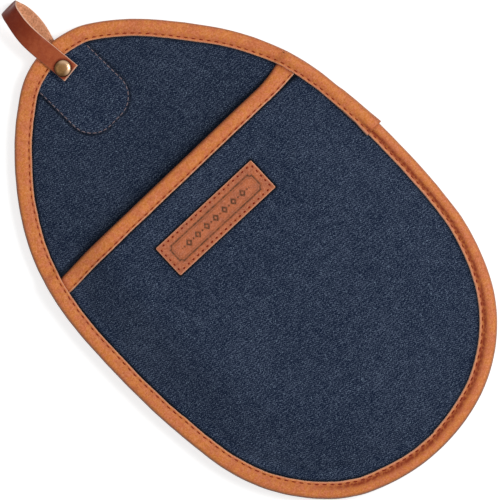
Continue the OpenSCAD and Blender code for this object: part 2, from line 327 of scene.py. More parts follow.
def make(name, verts, faces, materials, body="mitt", shades=None, tone=None):
    """An object from points in millimetres. tone holds three marks for its material, each of
    which is one value or has one for each point."""
    mesh = bpy.data.meshes.new(name)
    mesh.from_pydata((np.asarray(verts) * MM).tolist(), [], [list(map(int, f)) for f in faces])
    for m in materials:
        mesh.materials.append(m)
    if shades is not None:
        mesh.polygons.foreach_set("material_index", np.asarray(shades, np.int32))
    mesh.polygons.foreach_set("use_smooth", [True] * len(mesh.polygons))
    if tone is not None:
        layer = mesh.color_attributes.new("tone", "FLOAT_COLOR", "POINT")
        marks = np.ones((len(verts), 4), np.float32)
        for i, mark in enumerate(tone):
            marks[:, i] = np.ravel(mark)
        layer.data.foreach_set("color", marks.ravel())
    mesh.validate()
    mesh.update()
    obj = bpy.data.objects.new(name, mesh)
    scene.collection.objects.link(obj)
    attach(obj, body)
    return obj


def skin_of(rows, cols, closed=False):
    """Quads of a grid of rows by cols points. closed joins the last column to the first."""
    r = np.arange(rows - 1)[:, None] * cols
    c = np.arange(cols if closed else cols - 1)
    a, b = r + c, r + (c + 1) % cols
    return np.stack([a, a + cols, b + cols, b], -1).reshape(-1, 4)


def fill_in(border, spacing, keep, extra=()):
    """Even triangles inside a border, with inner points where keep(xy) says, and extra ones."""
    low, high = border.min(0), border.max(0)
    rows = np.arange(low[1], high[1], spacing * 0.866)
    cols = np.arange(low[0] - spacing, high[0] + spacing, spacing)
    gx, gy = np.meshgrid(cols, rows)
    gx = gx + (np.arange(len(rows)) % 2)[:, None] * spacing / 2
    inner = np.stack([gx.ravel(), gy.ravel()], -1)
    points = np.concatenate([border, inner[keep(inner)], *extra])
    n = len(border)
    edges = [(i, (i + 1) % n) for i in range(n)]
    made = delaunay_2d_cdt([Vector(p) for p in points], edges, [], 1, 1e-5)
    xy = np.array([list(p) for p in made[0]])
    return xy, np.array([list(f) for f in made[2] if len(f) == 3])


def border_edges(faces):
    """The directed edges that only one of the faces has."""
    last = faces.shape[1] - 1
    edges = np.concatenate([faces[:, [k, k - last]] for k in range(last + 1)]).tolist()
    seen = {tuple(edge) for edge in edges}
    return [(a, b) for a, b in edges if (b, a) not in seen]


def pad(xy, plan, top, bottom):
    """A closed pad: a top and a bottom sheet with the plan's faces, sewn along their border."""
    n = len(xy)
    verts = np.concatenate([np.column_stack([xy, z]) for z in (top, bottom)])
    area = np.cross(xy[plan[:, 1]] - xy[plan[:, 0]], xy[plan[:, 2]] - xy[plan[:, 0]])
    plan = np.where(area[:, None] > 0, plan, plan[:, ::-1])
    side = [[b, a, a + n, b + n] for a, b in border_edges(plan)]
    faces = plan.tolist() + (plan[:, ::-1] + n).tolist() + side
    shades = [0] * len(plan) + [1] * len(plan) + [0] * len(side)
    return verts, faces, shades


def dense(line, spacing):
    """Points at even steps along a closed line."""
    line = np.vstack([line, line[:1]])
    marks = marks_along(line)
    at = np.linspace(0, marks[-1], max(8, int(marks[-1] / spacing)), endpoint=False)
    return points_at(line, marks, at)


def points_at(line, marks, at):
    """The points of a line at those lengths along it."""
    return np.stack([np.interp(at, marks, line[:, i]) for i in range(2)], -1)


def threads(name, xy, z, along, length, radius, material, up=(0, 0, 1), rise=0.16):
    """Stitches as one mesh: each is a thread that comes up, lies over and goes down. Their
    middles are at xy and z. along, which may be flat, and up are the ways that they face."""
    mids, up = np.column_stack([xy, z]), np.asarray(up, float)
    along = np.column_stack([along, np.zeros(len(xy))])[:, :3]
    steps = np.array([-1, -0.97, -0.86, -0.6, -0.2, 0.2, 0.6, 0.86, 0.97, 1.0])
    sides = np.arange(8) * math.pi / 4
    side = np.cross(up, along)
    half = np.broadcast_to(length, len(mids)) / 2
    thick = radius * np.sqrt(np.clip(1 - np.abs(steps) ** 6, 0.02, 1))
    lift = rise * (1 - steps**2 * 2.2)
    rings = []
    for s, r, h in zip(steps, thick, lift):
        for q in sides:
            rings.append(mids + along * (half * s)[:, None]
                         + side * (r * math.cos(q)) + up * (r * 0.8 * math.sin(q) + h))
    verts = np.stack(rings, 1)
    per = len(steps) * len(sides)
    skin = skin_of(len(steps), len(sides), closed=True)[:, ::-1]
    caps = np.array([range(len(sides))[::-1], range(per - len(sides), per)])
    faces = []
    for k in range(len(mids)):
        faces += (skin + k * per).tolist() + (caps + k * per).tolist()
    return make(name, verts.reshape(-1, 3), faces, [material])


# --- Materials ---

def linear(*rgb):
    return [c / 255 / 12.92 if c <= 10 else ((c / 255 + 0.055) / 1.055) ** 2.4 for c in rgb] + [1]


def lit(color, share, more=0.0):
    """The colour at that share of its light, and with a little more of all three."""
    return [c * share + more for c in color[:3]] + [1]


class Nodes:
    """The nodes of a material or of the world, and a short way to add to them."""

    def __init__(self, owner, shader, **fixed):
        owner.use_nodes = True
        self.tree = owner.node_tree
        self.shader = self.tree.nodes[shader]
        for socket, value in fixed.items():
            self.shader.inputs[socket.replace("_", " ")].default_value = value

    def link(self, value, socket):
        if isinstance(value, bpy.types.NodeSocket):
            self.tree.links.new(value, socket)
        else:
            socket.default_value = value

    def node(self, kind, inputs, output=0, **settings):
        """An output of a new node. inputs gives a value, or an output, to some of its inputs."""
        made = self.tree.nodes.new("ShaderNode" + kind)
        for setting, value in settings.items():
            setattr(made, setting, value)
        for socket, value in inputs.items():
            self.link(value, made.inputs[socket])
        return made.outputs[output]


class Surface(Nodes):
    """A material's nodes. Its lengths are millimetres."""

    def __init__(self, name, **fixed):
        self.material = bpy.data.materials.new(name)
        super().__init__(self.material, "Principled BSDF", **fixed)
        self.at = self.scaled(self.node("TexCoord", {}, "Object"), (1 / MM,) * 3)

    def scaled(self, vector, scale, turn=0.0, move=(0, 0, 0)):
        place = {"Vector": vector, "Scale": scale, "Rotation": (0, 0, turn), "Location": move}
        return self.node("Mapping", place)

    def noise(self, size, detail=2.0, rough=0.5, stretch=(1, 1, 1), turn=0.0, move=(0, 0, 0)):
        """Noise from 0 to 1 with hills about size apart, stretched by stretch."""
        at = self.scaled(self.at, (1, 1, 1), turn) if turn else self.at
        at = self.scaled(at, [1 / (size * s) for s in stretch], move=move)
        return self.node("TexNoise", {"Vector": at, "Scale": 1, "Detail": detail, "Roughness": rough}, "Fac")

    def cells(self, size):
        """Distance to the edges of cells about size wide."""
        at = self.scaled(self.at, [1 / size] * 3)
        return self.node("TexVoronoi", {"Vector": at, "Scale": 1}, "Distance", feature="DISTANCE_TO_EDGE")

    def math(self, op, a, b=0.0, clamp=False):
        return self.node("Math", {0: a, 1: b}, operation=op, use_clamp=clamp)

    def add(self, *values):
        total = values[0]
        for v in values[1:]:
            total = self.math("ADD", total, v)
        return total

    def times(self, a, b, clamp=False):
        return self.math("MULTIPLY", a, b, clamp)

    def sine(self, phase):
        """A wave for each whole number of phase."""
        return self.math("SINE", self.times(phase, 2 * math.pi))

    def about_zero(self, value, width):
        """Noise from 0 to 1, spread over width and moved to swing about zero."""
        return self.times(self.math("SUBTRACT", value, 0.5), width)

    def spread(self, value, low, high, to_low=0.0, to_high=1.0):
        """Value from low..high to to_low..to_high, clamped."""
        ends = {"From Min": low, "From Max": high, "To Min": to_low, "To Max": to_high}
        return self.node("MapRange", {"Value": value, **ends}, interpolation_type="SMOOTHSTEP")

    def mix(self, share, a, b, blend="MIX"):
        return self.node("Mix", {"Factor": share, 6: a, 7: b}, 2, data_type="RGBA", blend_type=blend)

    def tone(self):
        """The three marks that each point of a mesh has for its material."""
        split = self.tree.nodes.new("ShaderNodeSeparateColor")
        self.link(self.node("Attribute", {}, "Color", attribute_name="tone"), split.inputs[0])
        return split.outputs

    def bump(self, height, depth, strength=1.0):
        """Relief: height from 0 to 1 stands for depth."""
        return self.node("Bump", {"Strength": strength, "Distance": depth * MM, "Height": height})

    def out(self, color, rough, normal):
        for value, socket in ((color, "Base Color"), (rough, "Roughness"), (normal, "Normal")):
            self.link(value, self.shader.inputs[socket])
        return self.material


# The weave's ribs: how many to a millimetre across and up the cloth, and how strong
RIBS = [(0.485, 0.805, 0.19), (0.067, 0.518, 0.1), (0.069, 0.685, 0.09), (-0.243, 0.667, 0.08)]


def denim_material(name, lighter=1.0):
    """Denim. The green mark in tone is for shade."""
    m = Surface(name, Specular_IOR_Level=0.06, Sheen_Weight=0.04, Sheen_Roughness=0.5)
    x, y = (m.node("SeparateXYZ", {0: m.at}, axis) for axis in (0, 1))
    sway = m.about_zero(m.noise(14, 2), 1.4)
    ribs = [m.sine(m.add(m.times(x, across), m.times(y, up), sway)) for across, up, part in RIBS]
    grain = m.noise(0.36, 1, 0.6)
    yarn = m.noise(0.34, 1, 0.5, stretch=(1, 2.2, 1), turn=-0.52, move=(3, 8, 0))
    weft = m.noise(0.34, 1, 0.5, stretch=(2.0, 1, 1), turn=0.25, move=(9, 4, 0))
    fleck = m.noise(0.45, 0, 0.5, move=(1, 2, 0))
    slub = m.noise(1.2, 1, 0.5, stretch=(1, 12, 1), move=(7, 3, 0))
    cloud = m.noise(30, 3, 0.6)
    patch = m.noise(6, 3, 0.6, move=(20, 11, 0))
    uneven = ((grain, 2.5), (yarn, 1.75), (weft, 1.75), (slub, 0.4), (cloud, 0.4), (patch, 0.4))
    value = m.add(*[m.times(rib, part) for rib, (across, up, part) in zip(ribs, RIBS)],
                  *[m.about_zero(v, width) for v, width in uneven], 0.31)
    share = m.math("POWER", m.times(value, 1.0, clamp=True), 2.0)
    dark, light = (0.003, 0.0088, 0.027), (0.084, 0.108, 0.166)
    color = m.mix(share, lit(dark, lighter), lit(light, lighter))
    # neps: pale ends of fibre that stand out as specks
    color = m.mix(m.spread(fleck, 0.64, 0.84, 0, 0.9), color, [0.165, 0.225, 0.3, 1])
    color = m.mix(m.tone()[1], color, [0.0025, 0.004, 0.008, 1])
    height = m.add(m.times(ribs[0], 0.3), m.times(ribs[1], 0.15), grain, yarn)
    return m.out(color, m.spread(fleck, 0.3, 0.7, 0.82, 0.95), m.bump(height, 0.14, 0.8))


def leather_material(name, warm, rosy, dark, cut, rough=(0.46, 0.62), spec=0.18, grain=0.07,
                     burnish_and_shade=None, pale=0.3, patchy=(0.55, 1.2), uneven=1.0):
    """Leather. The marks in tone are red for a cut edge and for a painted highlight on a ridge,
    green for burnish and painted shade, and blue for painted shade on a rolled fold. pale is how much
    its fine grain lightens it, patchy how evenly the green mark took, and uneven how much its colour
    wanders."""
    m = Surface(name, Specular_IOR_Level=spec)
    cloud = m.noise(6, 3, 0.6)
    mottle = m.noise(2.3, 3, 0.6, move=(5, 9, 2))
    blotch = m.noise(1.1, 2, 0.6, move=(1, 4, 6))
    pores = m.noise(0.5, 2, 0.6)
    color = m.mix(m.spread(m.add(cloud, m.about_zero(mottle, 0.9)), 0.36, 0.64), warm, rosy)
    shade = m.add(m.about_zero(mottle, 0.5 * uneven), m.about_zero(blotch, 0.8 * uneven),
                  m.about_zero(pores, 0.7 * uneven), 1.0)
    color = m.mix(1.0, color, shade, "MULTIPLY")
    # dry grain: a paler, greyer bloom in fine flecks
    bloom = m.times(m.spread(m.add(pores, m.about_zero(blotch, 0.8)), 0.42, 0.75), pale)
    color = m.mix(bloom, color, lit(warm, 0.6, 0.32 * max(warm[:3])))
    edge, seam, roll = list(m.tone())[:3]
    # burnish and painted shade gather in blotches along the seam
    took = m.spread(m.add(mottle, m.about_zero(blotch, 0.8)), 0.3, 0.62, *patchy)
    color = m.mix(m.times(seam, took, clamp=True), color, burnish_and_shade or dark)
    # painted shade where a fold rolls away, from the blue mark
    color = m.mix(roll, color, dark)
    fibre = m.mix(m.noise(0.4, 2, 0.6), lit(cut, 0.8), cut)
    color = m.mix(edge, color, fibre)
    height = m.add(m.times(m.spread(m.cells(0.9), 0.0, 0.22), 0.5),
                   *[m.times(v, 0.6) for v in (pores, blotch, mottle)])
    rough_at = m.spread(m.add(pores, m.times(edge, 0.5)), 0.35, 0.9, *rough)
    return m.out(color, rough_at, m.bump(height, grain, 0.8))


def thread_material(name, dull, bright, spec=0.3):
    m = Surface(name, Specular_IOR_Level=spec)
    ply = m.noise(0.35, 2, 0.6, turn=0.6, stretch=(1, 3, 1))
    return m.out(m.mix(ply, dull, bright), m.spread(ply, 0.3, 0.7, 0.55, 0.75), m.bump(ply, 0.05))


def lining_material(name):
    m = Surface(name, Specular_IOR_Level=0.1, Sheen_Weight=0.1, Sheen_Roughness=0.5)
    x, y = (m.node("SeparateXYZ", {0: m.at}, axis) for axis in (0, 1))
    threads_per_mm = 1 / 0.7
    weave = m.times(*[m.sine(m.times(v, threads_per_mm)) for v in (x, y)])
    fuzz = m.noise(0.8, 3, 0.6)
    share = m.add(m.times(weave, 0.12), fuzz, m.times(m.noise(18, 3), 0.4), -0.3)
    color = m.mix(share, linear(38, 48, 68), linear(64, 75, 98))
    return m.out(color, m.spread(fuzz, 0.3, 0.7, 0.85, 0.95), m.bump(m.add(weave, fuzz), 0.05))


def brass_material(name):
    """Antique brass. The marks in tone are green for patina and painted shade, and red for a painted
    highlight.
    """
    m = Surface(name, Metallic=1.0)
    tarnish = m.noise(2.6, 3, 0.6)
    fine = m.noise(0.3, 2, 0.6)
    painted_highlight, patina_and_shade = list(m.tone())[:2]
    color = m.mix(m.spread(tarnish, 0.3, 0.7), linear(146, 108, 69), linear(120, 86, 52))
    color = m.mix(patina_and_shade, color, linear(48, 32, 20))
    # painted highlight
    color = m.mix(painted_highlight, color, linear(212, 176, 142))
    return m.out(color, m.spread(m.add(fine, tarnish), 0.7, 1.3, 0.22, 0.3), m.bump(fine, 0.004, 0.5))


DENIM = denim_material("denim")
BACK_DENIM = denim_material("denim_back", 0.95)
LINING = lining_material("lining_cotton")
TAN = leather_material("binding_leather", warm=linear(206, 120, 54), rosy=linear(196, 107, 62),
                       dark=linear(92, 50, 32), cut=linear(244, 198, 172), burnish_and_shade=linear(132, 50, 20))
LABEL_LEATHER = leather_material("label_leather", warm=linear(184, 101, 60), rosy=linear(166, 92, 60),
                                 dark=linear(84, 50, 26), cut=linear(220, 156, 124))
BROWN = leather_material("strap_leather", warm=linear(162, 79, 43), rosy=linear(150, 68, 36),
                         dark=linear(104, 28, 4), cut=linear(240, 196, 168), rough=(0.34, 0.48),
                         spec=0.14, grain=0.04, pale=0.08, patchy=(0.92, 1.05), uneven=0.4)
FLESH = leather_material("strap_flesh", warm=linear(230, 163, 122), rosy=linear(208, 143, 104),
                         dark=linear(176, 110, 76), cut=linear(238, 188, 160), rough=(0.8, 0.95),
                         spec=0.08, grain=0.16, uneven=1.4)
THREAD = thread_material("binding_thread", linear(104, 28, 9), linear(146, 46, 20), spec=0.12)
LABEL_THREAD = thread_material("label_thread", linear(104, 22, 6), linear(134, 38, 14), spec=0.1)
PATCH_THREAD = thread_material("patch_thread", linear(84, 68, 74), linear(150, 132, 134))
BRASS = brass_material("antique_brass")

# --- Where the rim's binding ends on the cloth, and the painted shade on the cloth beside it ---

# Swells and hollows of the hand-cut rim: the way each faces and its half width, both in
# degrees, and how far it stands out
SWELLS = [(-86, 14, -0.5), (-53, 24, 0.5), (-21, 11, -0.7), (-5, 6, 0.4), (13, 8, 0.5), (38, 10, -1.3),
          (56, 14, 0.7), (96, 8, -0.2), (156, 11, 0.9), (176, 9, -0.6), (186, 6, 0.5), (208, 26, 0.6),
          (233, 14, 1.3)]
SWELL_ALL = 0.2
# The same for the width of the binding on the cloth, beyond RIM_BAND
WIDER = [(-66, 42, 0.8), (240, 26, 0.5), (95, 42, 0.8), (36, 9, 0.5), (0, 28, -0.4), (176, 12, -0.3)]


def stray(turn):
    """How far the rim strays outwards from its arcs, where it faces direction turn."""
    out = SWELL_ALL
    for way, half, height in SWELLS:
        off = (np.asarray(turn, float) - way + 180) % 360 - 180
        out = out + height * hill(off, half)
    return out


def band_width(turn):
    """How far the rim's binding reaches in over the cloth, where it faces direction turn."""
    return RIM_BAND + sum(more * hill(wrapped(turn) - way, half) for way, half, more in WIDER)


def past_band(inset, turn):
    """Distance from the binding's inner edge to a point inset from the rim, on the cloth's side."""
    return inset - band_width(turn) + stray(turn)


def contact(gap, full=0.35, none=1.5):
    """How deep the painted shade is on a surface beside what lies on it, gap millimetres away."""
    return 1 - smooth((gap - full) / (none - full))


def shade_at(turn):
    """How deep the shade beside the rim's binding is: least on the right side."""
    return 0.78 - 0.22 * np.cos(np.radians(turn + 10))


# --- Padded layers ---

CLOTH_STEP, SEAM_STEP = 2.6, 1.5
# Close points stand beside each seam, where the cloth is pinned and its shade is drawn. These
# are their distances from it, and the cloth's even points keep clear of them.
BY_RIM = (-0.9, -0.1, 0.5, 1.1, 2.1)
BY_FOLD = (0.7, 0.0, -0.7, -1.5, -2.6)
BY_BAND = (-0.7, 0.0, 0.6, 1.3, 2.3)
BY_LABEL = (-0.8, 0.0, 0.6, 1.3, 2.3)
BY_PATCH = (-0.5, 0.2, 0.8, 1.6)
BAND_LOW = MOUTH_BAND - LEATHER_T


def settle(obj, pins, cap, pressure=4.0, slack=0.01, frames=20):
    """Lets the pad's cloth billow under pressure between the points that are sewn down,
    and then limits how far each point has moved."""
    mesh = obj.data
    start = np.empty(len(mesh.vertices) * 3, np.float32)
    mesh.vertices.foreach_get("co", start)
    group = obj.vertex_groups.new(name="sewn")
    group.add(np.nonzero(pins)[0].tolist(), 1.0, "REPLACE")
    cloth = obj.modifiers.new("cloth", "CLOTH")
    s = cloth.settings
    s.quality = 6
    s.vertex_group_mass = "sewn"
    s.use_pressure = True
    s.uniform_pressure_force = pressure
    s.effector_weights.gravity = 0
    s.shrink_min = -slack
    cloth.point_cache.frame_start, cloth.point_cache.frame_end = 1, frames
    for f in range(1, frames + 1):
        scene.frame_set(f)
    shown = obj.evaluated_get(bpy.context.evaluated_depsgraph_get())
    end = np.empty(len(start), np.float32)
    shown.data.vertices.foreach_get("co", end)
    obj.modifiers.remove(cloth)
    obj.vertex_groups.remove(group)
    scene.frame_set(1)
    start = start.reshape(-1, 3)
    move = (end.reshape(-1, 3) - start) / MM
    size = np.linalg.norm(move, axis=1)
    keep = cap * np.tanh(size / np.maximum(cap, 1e-3)) / np.maximum(size, 1e-6)
    mesh.vertices.foreach_set("co", (start + move * keep[:, None] * MM).astype(np.float32).ravel())
    mesh.update()


def rest_on_floor(obj):
    """Flattens what would lie below the floor."""
    for v in obj.data.vertices:
        v.co.z = max(v.co.z, 0)


def finer(obj):
    """One subdivision, kept in the mesh."""
    mod = obj.modifiers.new("finer", "SUBSURF")
    mod.levels = mod.render_levels = 1
    shown = obj.evaluated_get(bpy.context.evaluated_depsgraph_get())
    mesh = bpy.data.meshes.new_from_object(shown)
    obj.modifiers.remove(mod)
    old, obj.data = obj.data, mesh
    bpy.data.meshes.remove(old)
    mesh.name = obj.name
    mesh.polygons.foreach_set("use_smooth", [True] * len(mesh.polygons))


def points_by_rim(keep):
    """Close points beside the inner edge of the rim's binding."""
    turn = ring_turns(SEAM_STEP, inset=9)
    points = np.concatenate([rim(turn, band_width(turn) - stray(turn) + o) for o in BY_RIM])
    return points[keep(points)]


def points_by_mouth(down, offsets):
    """Close points beside a line across the mitt, as far as the rim's binding."""
    across = np.arange(-88, 88, SEAM_STEP)
    points = np.concatenate([from_mouth(across, down + o) for o in offsets])
    return points[inside_rim(points, 11.5)]


def points_by_label():
    sides = []
    for o in BY_LABEL:
        a, b = LABEL_L / 2 + o, LABEL_H / 2 + o
        box = dense(np.array([(-a, -b), (a, -b), (a, b), (-a, b)]), SEAM_STEP)
        sides.append(on_label(box[:, 0], box[:, 1]))
    return np.concatenate(sides)


def points_by_patch(line):
    points = [dense(line * [1 + o / (PATCH_W / 2), 1] - [0, o], SEAM_STEP) for o in BY_PATCH]
    points = np.concatenate(points)
    return points[inset_of(points) > 12.6]


def patch_corner(w, r, low, steps):
    """The patch's lower right corner, an arc from its side round to its lower edge."""
    q = np.radians(np.linspace(0, -90, steps))
    return np.column_stack([w - r + r * np.cos(q), low + r + r * np.sin(q)])


def patch_line():
    """The outline of the patch, as far as the rim's binding."""
    r, w, low = PATCH_R - PATCH_TUCK, PATCH_W / 2 - PATCH_TUCK, PATCH_LOW + PATCH_TUCK
    right = patch_corner(w, r, low, 24)
    side = np.column_stack([np.full(40, w), np.linspace(TIP_Y, low + r, 40)])[:-1]
    arc = rim(np.linspace(0, 180, 721), LAYER_IN + 0.3)
    arc = arc[(np.abs(arc[:, 0]) < w - 0.1) & (arc[:, 1] > 100)]
    side = side[side[:, 1] < arc[:, 1].min() + 0.2]
    mirror = [-1, 1]
    return np.concatenate([side, right, right[::-1] * mirror, side[::-1] * mirror, arc[::-1]])


def padded_back():
    fold = -LEATHER_T
    line = patch_line()

    def above(p):
        return down_of(p) < fold - 3.6

    def keep(p):
        inset, turn = place_of(p)
        free = inside_rim(p, LAYER_IN + 1.2) & ~(between(past_band(inset, turn), -1.9, 3.1) & above(p))
        free &= ~(between(down_of(p) - fold, -3.6, 1.4) & (inset > 11))
        return free & ~((nearest(p, line)[0] < 2.4) & (inset > 12.6))

    border = rim(ring_turns(CLOTH_STEP, spare=1), LAYER_IN)
    extra = [points_by_mouth(fold, BY_FOLD), points_by_rim(above), points_by_patch(line)]
    xy, tris = fill_in(border, CLOTH_STEP, keep, extra)
    inset, turn = place_of(xy)
    low = back_bottom(inset) + 0.35 * smooth((inset - 20) / 20)
    verts, faces, shades = pad(xy, tris, np.full(len(xy), PALM_Z), low)
    edge, up = past_band(inset, turn), fold - down_of(xy)
    # painted shade on the palm beside the rim's binding, and a painted shadow above the mouth's fold, where
    # the pocket's edge stands over the palm
    dark = np.maximum(contact(edge) * shade_at(turn), 0.72 * contact(up, 1.1, 2.9) * (up > -3))
    # painted shade round the patch's edge
    dark = np.maximum(dark, 0.75 * hill(nearest(xy, line)[0], 0.8))
    # painted shade: the palm lies lower than the pocket and is a little darker all over, and the back is
    # darker beside its binding
    dark = np.concatenate([dark + 0.12 * (1 - dark), 0.6 * hill(np.clip(edge, 0, None), 0.8)])
    obj = make("padded_back", verts, faces, [DENIM, BACK_DENIM], shades=shades, tone=(0, dark, 0))
    # sewn down at the binding and the rivet, and hardly free under the strap and in the pocket
    palm_side = np.arange(len(verts)) < len(xy)
    inset, edge, x, y, down = (np.tile(v, 2) for v in (inset, edge, xy[:, 0], xy[:, 1], down_of(xy)))
    rivet = np.hypot(x, y - RIVET_Y)
    cap = smooth(edge / 12) * smooth((rivet - 4) / 20)
    cap = np.where((np.abs(x) < 12) & (y > 118), np.minimum(cap, 0.25), cap)
    cap = np.where(palm_side & (down > 4), np.minimum(cap, 0.5 * smooth((inset - 12) / 14)), cap)
    settle(obj, (edge < 0.3) | (rivet < 5), cap)
    rest_on_floor(obj)
    finer(obj)
    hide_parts("back_panel", "back_wadding", "palm_panel")
    return obj


def padded_pocket():
    def below(p):
        return down_of(p) > BAND_LOW + 3.4

    def keep(p):
        inset, turn = place_of(p)
        down = down_of(p)
        free = inside_rim(p, LAYER_IN + 1.2) & (down > 1.2)
        free &= ~(between(past_band(inset, turn), -1.9, 3.1) & below(p))
        free &= ~(between(down, BAND_LOW - 1.6, BAND_LOW + 3.3) & (inset > 11))
        return free & ~between(beside_label(p), -1.7, 3.3)

    # the rim below the mouth, which starts and ends at the mouth
    ring = rim(ring_turns(0.5, spare=1), LAYER_IN)
    ring = ring[down_of(ring) >= 0]
    start = int(np.linalg.norm(np.diff(ring, axis=0), axis=1).argmax()) + 1
    border = dense(np.roll(ring, -start, axis=0), CLOTH_STEP)
    extra = [points_by_mouth(BAND_LOW, BY_BAND), points_by_rim(below), points_by_label()]
    xy, tris = fill_in(border, CLOTH_STEP, keep, extra)
    inset, turn = place_of(xy)
    ease = 0.25 * smooth((inset - 12) / 20)
    verts, faces, shades = pad(xy, tris, pocket_top(xy, inset) - ease, pocket_bottom(xy, inset) + ease * 0.6)
    edge, down, from_label = past_band(inset, turn), down_of(xy), beside_label(xy)
    # painted shade beside the rim's binding, below the mouth's band and round the label
    dark = np.maximum(contact(edge) * shade_at(turn), contact(down - BAND_LOW + 0.25))
    dark = np.concatenate([np.maximum(dark, contact(from_label, 0.45, 1.6)), np.zeros(len(xy))])
    obj = make("padded_pocket", verts, faces, [DENIM, LINING], shades=shades, tone=(0, dark, 0))
    # sewn down at both bindings and round the label
    upper = np.arange(len(verts)) < len(xy)
    edge, down, from_label = (np.tile(v, 2) for v in (edge, down, from_label))
    sewn = (edge < 0.3) | (down < BAND_LOW + 0.3) | (upper & (from_label < 0.3))
    cap = 1.1 * smooth(edge / 11) * smooth((down - 7) / 11)
    cap = np.where(upper, cap * smooth(from_label / 8), cap * 0.5)
    settle(obj, sewn, cap)
    finer(obj)
    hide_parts("pocket_panel", "pocket_wadding", "pocket_lining")


back = padded_back()
padded_pocket()


def height_on(obj, xy, missing):
    """Height of the object's upper face over each point, or missing where there is none."""
    tree = BVHTree.FromObject(obj, bpy.context.evaluated_depsgraph_get())
    out = np.full(len(xy), float(missing))
    for i, (x, y) in enumerate(xy):
        hit = tree.ray_cast(Vector((x * MM, y * MM, 0.1)), Vector((0, 0, -1)))[0]
        if hit is not None:
            out[i] = hit.z / MM
    return out


# --- Folded strips of leather ---

class Strip:
    """A strip of leather folded over an edge, built from lines that run along it. The first
    ones are its outer skin, from the upper cut edge round the fold to the lower one, and the
    others its inner skin back.

    place(inset, side, off, fold) gives the points and height of a line, off the cloth, and the
    least burnish and painted shade there. side is 1 above it and -1 below, or 0 in the fold, which has an
    angle.
    edge is where its cut edges are, and out how far all of it stands off."""

    def __init__(self, place, edge, out=0.0):
        self.place, self.edge, self.out = place, edge, out
        self.lines, self.tones = [], []

    def add(self, inset, side, off, cut=0.0, burnish_and_shade=0.0, roll=0.0, fold=None):
        xy, z, least = self.place(inset, side, off, fold)
        self.lines.append(np.column_stack([xy, z]))
        marks = (cut, np.maximum(burnish_and_shade, least), roll)
        self.tones.append([np.broadcast_to(mark, len(self.edge)) for mark in marks])

    def wrap(self, face, folds, on_face, in_fold, inner_fold, pales):
        """Adds all lines: on_face(side, row of face) and in_fold(angle) add those of the outer
        skin, inner_fold(angle) says where the inner one is, and pales how pale the edges are."""
        self.add(self.edge, 1, self.out + 0.1, pales[0])
        for row in face:
            on_face(1, *row)
        for q in folds:
            in_fold(q)
        for row in face[::-1]:
            on_face(-1, *row)
        self.add(self.edge, -1, self.out + 0.1, pales[1])
        outer = len(self.lines)
        for e in (1.0, 4.0):
            self.add(self.edge - e, -1, self.out + 0.02, 0.6)
        for q in folds[::-2]:
            self.add(inner_fold(q), 0, self.out + 0.02, 0.6, fold=q)
        for e in (4.0, 1.0):
            self.add(self.edge - e, 1, self.out + 0.02, 0.6)
        return outer

    def finish(self, name, outer, end_burnish_and_shade=0.0):
        """Its object. Its last argument is the least burnish and painted shade at its last end."""
        verts, tone = np.stack(self.lines, 1), np.stack(self.tones, -1)
        tone[1, -1] = np.maximum(tone[1, -1], end_burnish_and_shade)
        stations, around = verts.shape[:2]
        faces = skin_of(stations, around, closed=True).tolist() + end_caps(around, outer, stations)
        return make(name, verts.reshape(-1, 3), faces, [TAN], tone=tone)


def end_caps(around, outer, stations):
    """Faces that close both ends of a tube whose first outer points are its outer skin, and
    whose others run back along the inner one."""
    last = around - outer - 1
    beside = [around - 1 - round(i * last / (outer - 1)) for i in range(outer)]
    near = [[i, i + 1, beside[i + 1], beside[i]] for i in range(outer - 1)]
    near = [f[:3] if f[2] == f[3] else f for f in near]
    return near + [[v + around * (stations - 1) for v in reversed(f)] for f in near]


def stitch_pull(run, pitch):
    """1 half way through each stitch, where its thread pulls the leather down, and 0 between."""
    return 0.5 - 0.5 * np.cos(2 * math.pi * (run % pitch) / pitch)


# --- Binding round the rim ---

# lengths along the binding are measured at BAND_IN from the rim
BAND_STEP, BAND_IN = 1.0, 5.0
STITCH_IN, STITCH_PITCH, GROOVE_IN = 1.6, 4.18, 2.7
LAP_TURN = facing(LAP_END_Y)
RUN_START = float(run_to(facing(LAP_END_Y + LAP_L), BAND_IN))
BAND_LENGTH = RUN_START - float(run_to(LAP_TURN - 360, BAND_IN))

# The binding's face, from its cut edge in: the distance from the edge, the height as a share
# of the leather's thickness, and how much of the padding's crown is under it
RIM_FACE = [(0.32, 0.82, 0), (0.55, 0.98, 0), (0.85, 1.0, 0.05), (1.2, 0.93, 0.1), (STITCH_IN, 0.74, 0.1),
            (2.0, 0.93, 0.3), (2.6, 1.03, 0.5), (3.1, 1.08, 0.75), (3.7, 1.1, 0.95), (4.5, 1.1, 1.0),
            (5.4, 1.1, 1.0)]


def rise(xy):
    """Height above the palm of what the rim's binding lies on: the pocket, with the mouth's
    band on it, and the patch at the tip."""
    down = down_of(xy)
    full = POCKET_EDGE_T + LEATHER_T
    onto_band = full * smooth((down + 7.6) / 5.4)
    off_band = (full - POCKET_EDGE_T) * smooth((down - 8.6) / 4.5)
    patch = DENIM_T * (1 - smooth((np.abs(xy[..., 0]) - PATCH_W / 2 - 0.8) / 5))
    return onto_band - off_band + np.where(xy[..., 1] > PATCH_LOW + 5, patch, 0)


def band_t(run):
    """The leather's thickness, pared at its start."""
    return PARED_T + (LEATHER_T - PARED_T) * np.clip(run / LAP_L, 0, 1)


def lap_out(run):
    """How far the binding stands off where it lies over its own pared start."""
    under = run - (BAND_LENGTH - LAP_L)
    flare = 0.3 * smooth((run - BAND_LENGTH + 9) / 9)
    return (band_t(under) + LAP_GAP) * smooth((under + LAP_CLIMB) / LAP_CLIMB) + flare


def rim_width(run, turn):
    """How far the hand-cut binding reaches in, run along it."""
    return band_width(turn) + 0.16 * wavy(run, 0, 17) + 0.07 * wavy(run, 3, 4)


